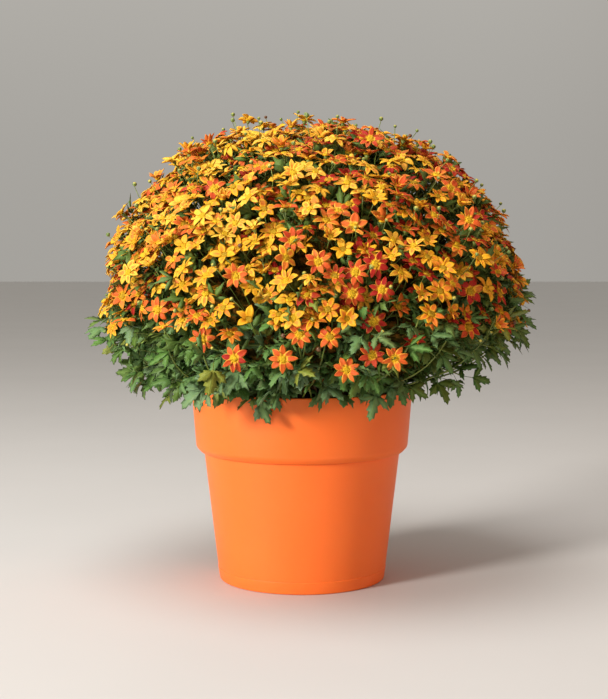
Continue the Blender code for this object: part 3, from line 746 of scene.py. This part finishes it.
def shoot_ends(turn, rng):
    """Ends of one skirt's shoots as (turn, radius, height), from just under the lowest blooms (drop
    -0.8) down to the rim (drop 1). Those at the two sides stand wider, those on the right end higher,
    and the lowest on the left and in front hang lower."""
    order = np.arange(SHOOTS)
    drop = np.linspace(-0.8, 1, SHOOTS) + rng.normal(0, 0.06, SHOOTS)
    spread = (order * 0.618 + rng.uniform(0, 1)) % 1 - 0.5
    swing = turn + spread * (2 * math.pi / SKIRTS) * 1.15
    aside = np.abs(np.cos(swing))
    right, left = np.maximum(np.cos(swing), 0), np.maximum(-np.cos(swing), 0)
    inward = 0.088 - 0.026 * aside - 0.020 * right**4
    radius = 0.248 - inward * np.maximum(drop, 0) ** 1.4 - 0.014 * np.maximum(-drop, 0)
    radius = radius + 0.004 * right**2 - 0.003 * left**2
    radius = radius + rng.normal(0, 0.007, SHOOTS) + DOME_CENTRE[0] * np.cos(swing)
    height = 0.302 - (0.044 + 0.010 * aside) * drop + rng.normal(0, 0.005, SHOOTS)
    front = np.maximum(-np.sin(swing), 0) ** 2 * np.interp(np.cos(swing), [-0.6, 0], [0.2, 1])
    height = height + 0.036 * right**3 + 0.006 * left**2 * (1 - np.abs(drop))
    height = height - (0.011 * left**2 + 0.010 * front) * np.maximum(drop, 0)
    return swing, radius, height


def shoot_paths(turn, rng):
    """Up out of the mix near the wall, over the rim, and out to each shoot's end."""
    swing, radius, height = shoot_ends(turn, rng)
    start_turn = turn + (swing - turn) * 0.35
    foot = np.full(len(swing), SOIL_TOP_Z - STEM_SINK)
    start = around(start_turn, rng.uniform(0.108, 0.120, len(swing)), foot)
    rise = around(start_turn, np.full(len(swing), 0.124), height * 0.4 + 0.160)
    over = around(swing, 0.45 * radius + 0.075, height + 0.020)
    return bezier(np.stack([start, rise, over, around(swing, radius, height)], axis=1), SHOOT_STEPS)


def leaning_stem_part(turn, rng):
    """Long bare stems that lean out over the rim and rise in front of the leaves to the lowest blooms."""
    swing = turn + rng.uniform(-0.5, 0.5, LEANING_STEMS) * (2 * math.pi / SKIRTS)
    shift = rng.uniform(-0.012, 0.010, LEANING_STEMS)
    flat_and_height = [(0.115, 0.2185), (0.134, 0.276), (0.224, 0.238), (0.252, 0.342)]
    corners = []
    for order, (flat, height) in enumerate(flat_and_height):
        reach = flat + shift * (order > 1) + (order == 3) * DOME_CENTRE[0] * np.cos(swing)
        angle = swing + 0.05 * order * np.sign(shift)
        corners.append(around(angle, reach, np.full(len(swing), height)))
    paths = bezier(np.stack(corners, axis=1), SHOOT_STEPS)
    radii = np.linspace(0.0014, 0.0009, SHOOT_STEPS) * rng.uniform(0.9, 1.1, (len(paths), 1))
    return tubes(paths, radii, 5, GREENS, stem_tint(len(paths), 0.15, rng))


def kept_off_pot(part):
    """Points below the rim that are in or close to the pot's wall are moved out onto its collar, each
    on its own. Points further in stay, so a leaf with both kinds spans the wall."""
    points = part[0]
    flat = np.hypot(points[:, 0], points[:, 1])
    low = points[:, 2] < POT_HEIGHT + 0.002
    wanted = np.where(flat > RIM_RADIUS - 0.006, np.maximum(flat, RIM_RADIUS + COLLAR_GAP), flat)
    ratio = np.where(low, wanted / np.maximum(flat, 1e-6), 1.0)
    points[:, :2] *= ratio[:, None]
    return (points, *part[1:])


def over_bare_rim(points):
    """Which points are low, near the rim, at the turns where the photograph shows the rim bare."""
    turn = np.arctan2(points[:, 1], points[:, 0]) % (2 * math.pi)
    near = np.abs(turn[:, None] - BARE_RIM_TURNS) < BARE_RIM_REACH
    return near.any(axis=1) & (points[:, 2] < BARE_RIM_TOP_Z)


def skirt_leaf_parts(paths, rng):
    """Toothed compound leaves in opposite pairs along the shoots, each pair turned a quarter from the
    last. Those on the left are painted lighter and with more painted sheen, and those on the right darker:
    painted light and shade by side."""
    steps = paths.shape[1]
    along_path = unit(np.gradient(paths, axis=1))
    spots = np.arange(3, steps)
    pair = np.tile([1.0, -1.0], len(spots))
    spot = np.repeat(spots, 2)
    holder = np.repeat(np.arange(len(paths)), len(spot))
    spot, pair = np.tile(spot, len(paths)), np.tile(pair, len(paths))
    kept = rng.uniform(size=len(spot)) < np.interp(paths[holder, spot, 0], [0.0, 0.2], [0.64, 0.74])
    kept &= ~over_bare_rim(paths[holder, spot])
    holder, spot, pair = holder[kept], spot[kept], pair[kept]
    total = len(spot)
    root = paths[holder, spot]
    ahead = along_path[holder, spot]
    side, _ = upright_pair(ahead, (spot % 2) * math.pi / 2 + rng.normal(0, 0.35, total))
    outward = unit(root * [1, 1, 0])
    at_side = np.interp(outward[:, 0], [-0.9, -0.3, 0.3, 0.9], [0.5, 1, 0.9, 0.6])
    hang = 0.16 + 0.32 * np.interp(root[:, 2], [0.255, 0.285], [1, 0]) * at_side
    along = unit(0.45 * ahead + 0.8 * pair[:, None] * side + 0.40 * outward - hang[:, None] * [0, 0, 1])
    round_pot = np.cross([0, 0, 1.0], outward)
    face = 0.75 * outward + [0, 0, 0.50] + rng.normal(0, 0.55, (total, 1)) * round_pot
    face = face + rng.normal(0, 0.15, (total, 3))
    face = squared(face, along)
    length = rng.uniform(0.032, 0.048, total)
    right = np.clip(outward[:, 0], 0, 1)
    breadth = (0.31 - 0.04 * right) * length * rng.normal(1, 0.14, total)
    bend = (rng.uniform(0.1, 0.5, total), rng.uniform(0.3, 1.0, total))
    # painted light and shade: leaves on the lit left are painted lighter and with more painted grey sheen,
    # and those on the shaded right darker
    tint = leaf_tint(total, 0.75 - 0.62 * right, 0.0, 1.0 - 0.9 * right, rng)
    parts = compound_leaves((END_LEAFLET, SIDE_LEAFLET), root, along, face, length, breadth, bend, tint, rng)
    return [kept_off_pot(part) for part in parts]


def make_skirts(materials):
    """One piece for each packed leafy side stem: its shoots and their leaves."""
    for index in range(SKIRTS):
        rng = np.random.default_rng(300 + index)
        turn = (index + 0.5) * 2 * math.pi / SKIRTS
        paths = shoot_paths(turn, rng)
        radii = np.linspace(0.0019, 0.0008, paths.shape[1]) * rng.uniform(0.85, 1.1, (len(paths), 1))
        shoots = tubes(paths, radii, 5, GREENS, stem_tint(len(paths), 0.55, rng))
        name = f"leafy_skirt_{index + 1:02d}"
        parts = [shoots, *skirt_leaf_parts(paths, rng), leaning_stem_part(turn, rng)]
        made = make_piece(name + "_in_leaf", parts, materials)
        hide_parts(name)


# Inside of the bush
def make_thicket(material):
    """A dark surface of painted shade in place of the thicket under the blooms: the dome drawn in and
    rumpled.
    """
    turns, rows = 90, 42
    angle = np.arange(turns) * (2 * math.pi / turns)
    lift = np.linspace(-0.10, math.pi / 2, rows)[:-1]
    flat, up = np.cos(lift)[:, None], np.repeat(np.sin(lift)[:, None], turns, axis=1)
    heading = np.stack([flat * np.cos(angle), flat * np.sin(angle), up], -1).reshape(-1, 3)
    rough = ripples(heading * 0.2, 0.030, 8) + ripples(heading * 0.2, 0.014, 9)
    share = np.interp(heading[:, 2], [-0.1, 0.1, 0.35], [0.44, 0.50, 0.73])
    points = inside_dome(heading, share + 0.024 * rough)
    poles = np.array([[HEART[0], HEART[1], points[:turns, 2].min()], inside_dome([[0, 0, 1.0]], 0.75)[0]])
    faces = ring_faces(rows - 1, turns)
    points = np.concatenate([points, poles])
    blank = np.zeros((len(points), 4))
    part = (points, faces, blank[:, :2], blank, np.zeros(len(faces), int))
    make_piece("inner_thicket_painted_shade", [part], [material])


# Pot
def filleted(corners, steps=6):
    """A profile through (radius, height, fillet) corners, each rounded by an arc of its fillet radius
    that touches both of its sides."""
    found = []
    for k, (x, z, fillet) in enumerate(corners):
        here = np.array([x, z])
        if fillet == 0 or k in (0, len(corners) - 1):
            found.append(here)
            continue
        back = unit(np.array(corners[k - 1][:2]) - here)
        on = unit(np.array(corners[k + 1][:2]) - here)
        half = math.acos(np.clip(back @ on, -1, 1)) / 2
        centre = here + unit(back + on) * fillet / math.sin(half)
        first = here + back * fillet / math.tan(half) - centre
        last = here + on * fillet / math.tan(half) - centre
        for q in np.linspace(0, 1, steps):
            found.append(centre + fillet * unit((1 - q) * first + q * last))
    return np.array(found)


def pot_profile():
    collar = RIM_RADIUS - 0.0054
    body = BASE_RADIUS + 0.0188
    return filleted(
        [
            (0.0, 0.0, 0),
            (BASE_RADIUS - 0.006, 0.0, 0.001),
            (BASE_RADIUS - 0.0002, 0.0002, 0.0022),
            (BASE_RADIUS + 0.0021, 0.0152, 0.0006),
            (BASE_RADIUS + 0.0014, 0.0158, 0.0003),
            (BASE_RADIUS + 0.0018, 0.0168, 0.0006),
            (body - 0.0002, COLLAR_Z - 0.0040, 0.0008),
            (collar - 0.0105, COLLAR_Z - 0.0014, 0.0008),
            (collar - 0.0064, COLLAR_Z - 0.0014, 0.004),
            (collar - 0.0004, COLLAR_Z + 0.0052, 0.008),
            (RIM_RADIUS, POT_HEIGHT, 0.0013),
            (RIM_RADIUS - WALL, POT_HEIGHT - 0.0002, 0.0011),
            (collar - WALL, COLLAR_Z + 0.0052, 0.002),
            (body - WALL, COLLAR_Z - 0.0008, 0.002),
            (BASE_RADIUS - WALL, FLOOR_Z, 0.002),
            (0.0, FLOOR_Z, 0),
        ]
    )


def make_pot(material):
    points, faces, uv = turned_form(pot_profile(), POT_SIDES)
    blank = np.zeros((len(points), 4))
    part = (points, faces, uv, blank, np.zeros(len(faces), int))
    pot = make_piece("moulded_pot", [part], [material])
    drills = []
    for k in range(DRAIN_HOLES):
        turn = (k + 0.5) * 2 * math.pi / DRAIN_HOLES
        bpy.ops.mesh.primitive_cylinder_add(
            vertices=32,
            radius=DRAIN_RADIUS,
            depth=4 * FLOOR_Z,
            location=(DRAIN_RING * math.cos(turn), DRAIN_RING * math.sin(turn), FLOOR_Z / 2),
        )
        drills.append(bpy.context.object)
        change = pot.modifiers.new("drain", "BOOLEAN")
        change.operation = "DIFFERENCE"
        change.object = drills[-1]
    graph = bpy.context.evaluated_depsgraph_get()
    holed = bpy.data.meshes.new_from_object(pot.evaluated_get(graph))
    pot.modifiers.clear()
    pot.data = holed
    pot.data.shade_smooth()
    pot.data.set_sharp_from_angle(angle=math.radians(40))
    for drill in drills:
        bpy.data.objects.remove(drill, do_unlink=True)
    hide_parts("pot")


# Node helpers and materials
class Wiring:
    """A material or group tree with short ways to add and join its nodes."""

    def __init__(self, tree):
        self.tree = tree

    def node(self, kind, **values):
        made = self.tree.nodes.new(kind)
        for key, value in values.items():
            setattr(made, key, value)
        return made

    def join(self, value, socket):
        if isinstance(value, bpy.types.NodeSocket):
            self.tree.links.new(value, socket)
        else:
            socket.default_value = value

    def calc(self, operation, *values):
        made = self.node("ShaderNodeMath", operation=operation)
        for value, socket in zip(values, made.inputs):
            self.join(value, socket)
        return made.outputs[0]

    def times(self, a, b):
        return self.calc("MULTIPLY", a, b)

    def line(self, value, slope, start):
        return self.calc("MULTIPLY_ADD", value, slope, start)

    def rest_of(self, value):
        """What is left of 1."""
        return self.calc("SUBTRACT", 1.0, value)

    def ease(self, value, low, high):
        """0 below low, 1 above high, and smooth between them."""
        made = self.node("ShaderNodeMapRange", interpolation_type="SMOOTHSTEP")
        for name, given in (("Value", value), ("From Min", low), ("From Max", high)):
            self.join(given, made.inputs[name])
        return made.outputs["Result"]

    def mix(self, factor, a, b):
        made = self.node("ShaderNodeMix", data_type="RGBA")
        self.join(factor, made.inputs["Factor"])
        self.join(a, made.inputs["A"])
        self.join(b, made.inputs["B"])
        return made.outputs["Result"]

    def noise(self, vector, scale, detail=3.0):
        made = self.node("ShaderNodeTexNoise")
        self.join(vector, made.inputs["Vector"])
        made.inputs["Scale"].default_value = scale
        made.inputs["Detail"].default_value = detail
        return made.outputs["Fac"]

    def place(self):
        return self.node("ShaderNodeTexCoord").outputs["Object"]

    def tints(self):
        """The piece's own tint attribute as (first, second, third, underside)."""
        held = self.node("ShaderNodeVertexColor", layer_name="tint")
        parts = self.node("ShaderNodeSeparateColor")
        self.join(held.outputs["Color"], parts.inputs[0])
        return (*parts.outputs, held.outputs["Alpha"])

    def uv(self):
        parts = self.node("ShaderNodeSeparateXYZ")
        self.join(self.node("ShaderNodeUVMap", uv_map="UVMap").outputs[0], parts.inputs[0])
        return parts.outputs["X"], parts.outputs["Y"]

    def across_along(self):
        """The piece's UV as (distance from its midline from 0 to 1, share of its length)."""
        turn, along = self.uv()
        return self.calc("ABSOLUTE", self.line(turn, 2.0, -1.0)), along

    def paint(self, colour):
        self.join(colour, self.shader["Base Color"])

    def bump(self, height, strength, distance):
        made = self.node("ShaderNodeBump")
        made.inputs["Strength"].default_value = strength
        made.inputs["Distance"].default_value = distance
        self.join(height, made.inputs["Height"])
        self.join(made.outputs["Normal"], self.shader["Normal"])


def rgb(*colour):
    return (*colour, 1.0)


def new_material(name, roughness, **sockets):
    """A new material and the wiring of its shader."""
    made = bpy.data.materials.new(name)
    made.use_nodes = True
    w = Wiring(made.node_tree)
    w.shader = made.node_tree.nodes["Principled BSDF"].inputs
    w.shader["Roughness"].default_value = roughness
    for key, value in sockets.items():
        w.shader[key.replace("_", " ")].default_value = value
    return made, w


def streak_group():
    """Fine lengthwise streaks on a petal or leaf: noise stretched along its UV, from 0 to 1."""
    tree = bpy.data.node_groups.new("lengthwise_streaks", "ShaderNodeTree")
    for name in ("Across", "Along", "Fineness", "Shift"):
        tree.interface.new_socket(name=name, in_out="INPUT", socket_type="NodeSocketFloat")
    tree.interface.new_socket(name="Streaks", in_out="OUTPUT", socket_type="NodeSocketFloat")
    w = Wiring(tree)
    given = w.node("NodeGroupInput")
    spot = w.node("ShaderNodeCombineXYZ")
    w.join(w.times(given.outputs["Across"], given.outputs["Fineness"]), spot.inputs["X"])
    w.join(w.times(given.outputs["Along"], 1.6), spot.inputs["Y"])
    w.join(w.times(given.outputs["Shift"], 60.0), spot.inputs["Z"])
    streaks = w.ease(w.noise(spot.outputs[0], 1.0, 2.0), 0.30, 0.70)
    w.join(streaks, w.node("NodeGroupOutput").inputs["Streaks"])
    return tree


def streaks_of(wiring, group, across, along, fineness, shift):
    made = wiring.node("ShaderNodeGroup", node_tree=group)
    wiring.join(across, made.inputs["Across"])
    wiring.join(along, made.inputs["Along"])
    wiring.join(shift, made.inputs["Shift"])
    made.inputs["Fineness"].default_value = fineness
    return made.outputs["Streaks"]


def petal_material(group):
    """Golden yellow with an orange to deep red flush that sets in by two fifths of the way out. On
    the yellow blooms it is a soft patch that fades before the tip. On the orange and red ones it fills
    the petal up to a thin golden margin."""
    made, w = new_material("bidens_petal", 0.50, Specular_IOR_Level=0.15)
    flush, red, pale, under = w.tints()
    across, along = w.across_along()
    streaks = streaks_of(w, group, across, along, 6.0, pale)
    yellow = w.mix(pale, rgb(0.72, 0.360, 0.012), rgb(0.75, 0.460, 0.050))
    warm = w.mix(w.ease(red, 0.30, 0.90), rgb(0.68, 0.170, 0.022), rgb(0.55, 0.078, 0.015))
    deep = w.mix(w.ease(red, 0.75, 1.0), warm, rgb(0.32, 0.013, 0.008))
    begin = w.ease(along, 0.12, 0.40)
    full = w.ease(red, 0.28, 0.60)
    faint = w.rest_of(full)
    peach = w.times(w.times(full, begin), 0.55)
    ground = w.mix(peach, yellow, rgb(0.74, 0.290, 0.045))
    margin_from = w.line(full, 0.36, w.line(w.calc("POWER", red, 2.5), 0.20, 0.18))
    margin_to = w.calc("ADD", margin_from, w.line(full, -0.28, 0.62))
    ragged = w.calc("ADD", across, w.line(streaks, -0.30, 0.15))
    edge = w.rest_of(w.ease(ragged, margin_from, margin_to))
    tip_fade = w.rest_of(w.times(w.ease(along, 0.32, 0.90), w.times(faint, 0.9)))
    spread = w.times(w.times(begin, edge), tip_fade)
    wanted = w.times(spread, w.times(flush, w.line(streaks, 0.8, 0.65)))
    depth = w.times(w.ease(wanted, 0.05, 0.75), w.line(full, 0.14, 0.86))
    colour = w.mix(depth, ground, deep)
    colour = w.mix(w.times(under, 0.35), colour, rgb(0.70, 0.27, 0.035))
    w.paint(colour)
    w.bump(streaks, 0.35, 0.0004)
    return made


def disc_material():
    """Golden disc: ochre gaps between florets, bright anthers at its rim and a browner middle. On the
    least pale blooms all of it is browner."""
    made, w = new_material("bidens_disc", 0.70, Specular_IOR_Level=0.15)
    _, level = w.uv()
    grain = w.noise(w.place(), 1400.0, 2.0)
    rim = w.mix(w.ease(grain, 0.40, 0.58), rgb(0.62, 0.32, 0.006), rgb(0.90, 0.56, 0.020))
    heart = w.mix(w.ease(grain, 0.40, 0.62), rgb(0.28, 0.16, 0.005), rgb(0.76, 0.46, 0.014))
    colour = w.mix(w.ease(level, 0.45, 0.95), rim, heart)
    _, _, pale, _ = w.tints()
    colour = w.mix(w.times(w.ease(pale, 0.32, 0.10), 0.6), colour, rgb(0.24, 0.135, 0.008))
    w.paint(colour)
    w.bump(grain, 0.8, 0.0006)
    return made


def stem_material():
    """Green stems that turn reddish brown towards a woody foot."""
    made, w = new_material("bidens_stem", 0.5)
    woody, light, _, _ = w.tints()
    _, along = w.across_along()
    foot = w.times(woody, w.calc("SUBTRACT", 1.25, along))
    mottle = w.noise(w.place(), 220.0, 2.0)
    green = w.mix(light, rgb(0.090, 0.13, 0.014), rgb(0.20, 0.26, 0.040))
    brown = w.mix(mottle, rgb(0.10, 0.045, 0.020), rgb(0.20, 0.10, 0.045))
    w.paint(w.mix(w.ease(foot, 0.3, 0.8), green, brown))
    w.bump(mottle, 0.3, 0.0005)
    return made


def leaf_material(group):
    """Mid to dark green with a paler rib, faint side veins, a painted grey sheen for reflected light, and a
    paler underside.
    """
    made, w = new_material("bidens_leaf", 0.48, Specular_IOR_Level=0.22)
    light, yellow, sheen, under = w.tints()
    across, along = w.across_along()
    streaks = streaks_of(w, group, along, across, 14.0, light)
    mottle = w.noise(w.place(), 90.0, 3.0)
    green = w.mix(light, rgb(0.054, 0.126, 0.024), rgb(0.098, 0.224, 0.043))
    rib = w.rest_of(w.ease(across, 0.03, 0.16))
    layers = [
        (w.ease(mottle, 0.4, 0.7), 0.35, (0.064, 0.134, 0.020)),
        # painted sheen: a grey-green base colour that stands for light reflected off the leaves
        (sheen, 0.75, (0.20, 0.29, 0.18)),
        (w.ease(yellow, 0.05, 0.60), 0.45, (0.105, 0.120, 0.008)),
        (w.ease(yellow, 0.80, 1.0), 0.6, (0.30, 0.28, 0.03)),
        (streaks, 0.18, (0.13, 0.22, 0.04)),
        (rib, 0.45, (0.18, 0.27, 0.06)),
        (under, 0.6, (0.13, 0.20, 0.07)),
    ]
    for share, strength, colour in layers:
        green = w.mix(w.times(share, strength), green, rgb(*colour))
    w.paint(green)
    w.bump(w.calc("ADD", streaks, w.times(rib, 1.5)), 0.30, 0.0006)
    return made


def bud_material():
    """Green buds with a yellow tip, and a few spent heads in brown."""
    made, w = new_material("bidens_bud", 0.5)
    turn, level = w.uv()
    ribs = w.calc("SINE", w.times(turn, 44.0))
    green = w.mix(w.ease(ribs, -0.6, 0.8), rgb(0.055, 0.105, 0.018), rgb(0.20, 0.27, 0.060))
    green = w.mix(w.ease(level, 0.55, 0.95), green, rgb(0.46, 0.38, 0.05))
    _, spent, _, _ = w.tints()
    brown = w.mix(w.ease(ribs, -0.6, 0.8), rgb(0.045, 0.016, 0.008), rgb(0.20, 0.085, 0.020))
    w.paint(w.mix(w.ease(spent, 0.88, 0.90), green, brown))
    return made


def thicket_shade_material():
    """Painted shade between leaves and stems: dark olive, mottled with reddish brown blots that are painted
    shade standing for blooms deep inside the bush.
    """
    made, w = new_material("inner_shade", 0.9, Specular_IOR_Level=0.05)
    blots = w.noise(w.place(), 95.0, 4.0)
    # painted shade: near-black olive for the shade inside the bush, with reddish brown blots for shaded
    # blooms deep inside it
    dark = w.mix(w.ease(blots, 0.42, 0.60), rgb(0.030, 0.019, 0.002), rgb(0.085, 0.064, 0.008))
    w.paint(w.mix(w.ease(blots, 0.52, 0.60), dark, rgb(0.220, 0.088, 0.014)))
    w.bump(blots, 1.0, 0.01)
    return made


def pot_material():
    """Orange moulded plastic: an even satin skin with a fine grain and faint flow clouds in its colour and
    gloss.
    """
    made, w = new_material(
        "orange_moulded_plastic",
        0.40,
        Specular_IOR_Level=0.30,
        Subsurface_Weight=0.25,
        Subsurface_Scale=0.012,
        Subsurface_Radius=(1.0, 0.35, 0.1),
    )
    place = w.place()
    clouds = w.noise(place, 7.0, 3.0)
    grain = w.noise(place, 1500.0, 1.0)
    colour = w.mix(w.ease(clouds, 0.3, 0.7), rgb(0.94, 0.163, 0.022), rgb(0.96, 0.177, 0.027))
    w.paint(colour)
    w.join(w.line(clouds, 0.10, 0.40), w.shader["Roughness"])
    w.bump(grain, 0.10, 0.0003)
    return made


def soil_material():
    """Moist dark potting mix with bark crumbs and a few pale grains."""
    made, w = new_material("potting_mix", 0.92)
    place = w.place()
    crumbs = w.noise(place, 160.0, 5.0)
    cells = w.node("ShaderNodeTexVoronoi")
    cells.inputs["Scale"].default_value = 130.0
    w.join(place, cells.inputs["Vector"])
    earth = w.mix(w.ease(crumbs, 0.35, 0.65), rgb(0.012, 0.007, 0.004), rgb(0.075, 0.042, 0.022))
    pale = w.rest_of(w.ease(cells.outputs["Distance"], 0.10, 0.16))
    w.paint(w.mix(w.times(pale, 0.5), earth, rgb(0.42, 0.38, 0.30)))
    w.bump(crumbs, 1.0, 0.004)
    return made


# Studio
def add_camera():
    camera = bpy.data.cameras.new("photo_view")
    camera.sensor_width = SENSOR_MM
    camera.lens = FOCAL_PX * SENSOR_MM / max(FRAME_PX)
    held = linked("photo_view", camera)
    held.location = EYE
    held.rotation_euler = (math.pi / 2 - PITCH, 0, 0)
    bpy.context.scene.camera = held


def add_light(name, place, target, size, power, colour):
    light = bpy.data.lights.new(name, "AREA")
    light.shape = "DISK"
    light.size = size
    light.energy = power
    light.color = colour
    held = linked(name, light)
    held.location = place
    held.rotation_euler = (Vector(target) - Vector(place)).to_track_quat("-Z", "Y").to_euler()


def add_studio():
    """A pale floor, a soft key light from the front left, a weak warm one from the right, a weak one
    overhead, and a pale surround that turns darker and redder towards the right."""
    bpy.ops.mesh.primitive_plane_add(size=30)
    floor = bpy.context.object
    floor.name = "floor"
    made, w = new_material("pale_floor", 0.75)
    shades = w.mix(w.noise(w.place(), 3.0), rgb(0.53, 0.52, 0.51), rgb(0.57, 0.56, 0.55))
    w.paint(shades)
    floor.data.materials.append(made)
    centre = (0.0, 0.0, 0.30)
    add_light("key", (-3.9, -3.3, 1.7), centre, 1.2, 338, (1.0, 0.96, 0.90))
    add_light("fill", (3.8, -1.6, 1.1), centre, 2.4, 41, (1.0, 0.50, 0.29))
    add_light("overhead", (-0.5, -0.6, 2.4), centre, 1.6, 38, (1.0, 0.98, 0.95))
    world = bpy.data.worlds.new("surround")
    bpy.context.scene.world = world
    world.use_nodes = True
    w = Wiring(world.node_tree)
    heading = w.node("ShaderNodeSeparateXYZ")
    w.join(w.node("ShaderNodeTexCoord").outputs["Generated"], heading.inputs[0])
    rise = w.ease(heading.outputs["Z"], -0.02, 0.55)
    sky = world.node_tree.nodes["Background"]
    even = w.mix(rise, rgb(0.63, 0.605, 0.560), rgb(1.0, 0.96, 0.88))
    shaded = w.times(w.ease(heading.outputs["X"], 0.10, 0.80), 0.90)
    w.join(w.mix(shaded, even, rgb(0.16, 0.10, 0.08)), sky.inputs["Color"])
    sky.inputs["Strength"].default_value = 0.60
    bpy.context.scene.view_settings.view_transform = "Standard"


def main():
    streaks = streak_group()
    materials = [petal_material(streaks), disc_material(), stem_material(), leaf_material(streaks)]
    materials.append(bud_material())
    make_pot(pot_material())
    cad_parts["soil"].data.materials[0] = soil_material()
    make_thicket(thicket_shade_material())
    make_skirts(materials)
    make_sprays(materials)
    add_camera()
    add_studio()


main()
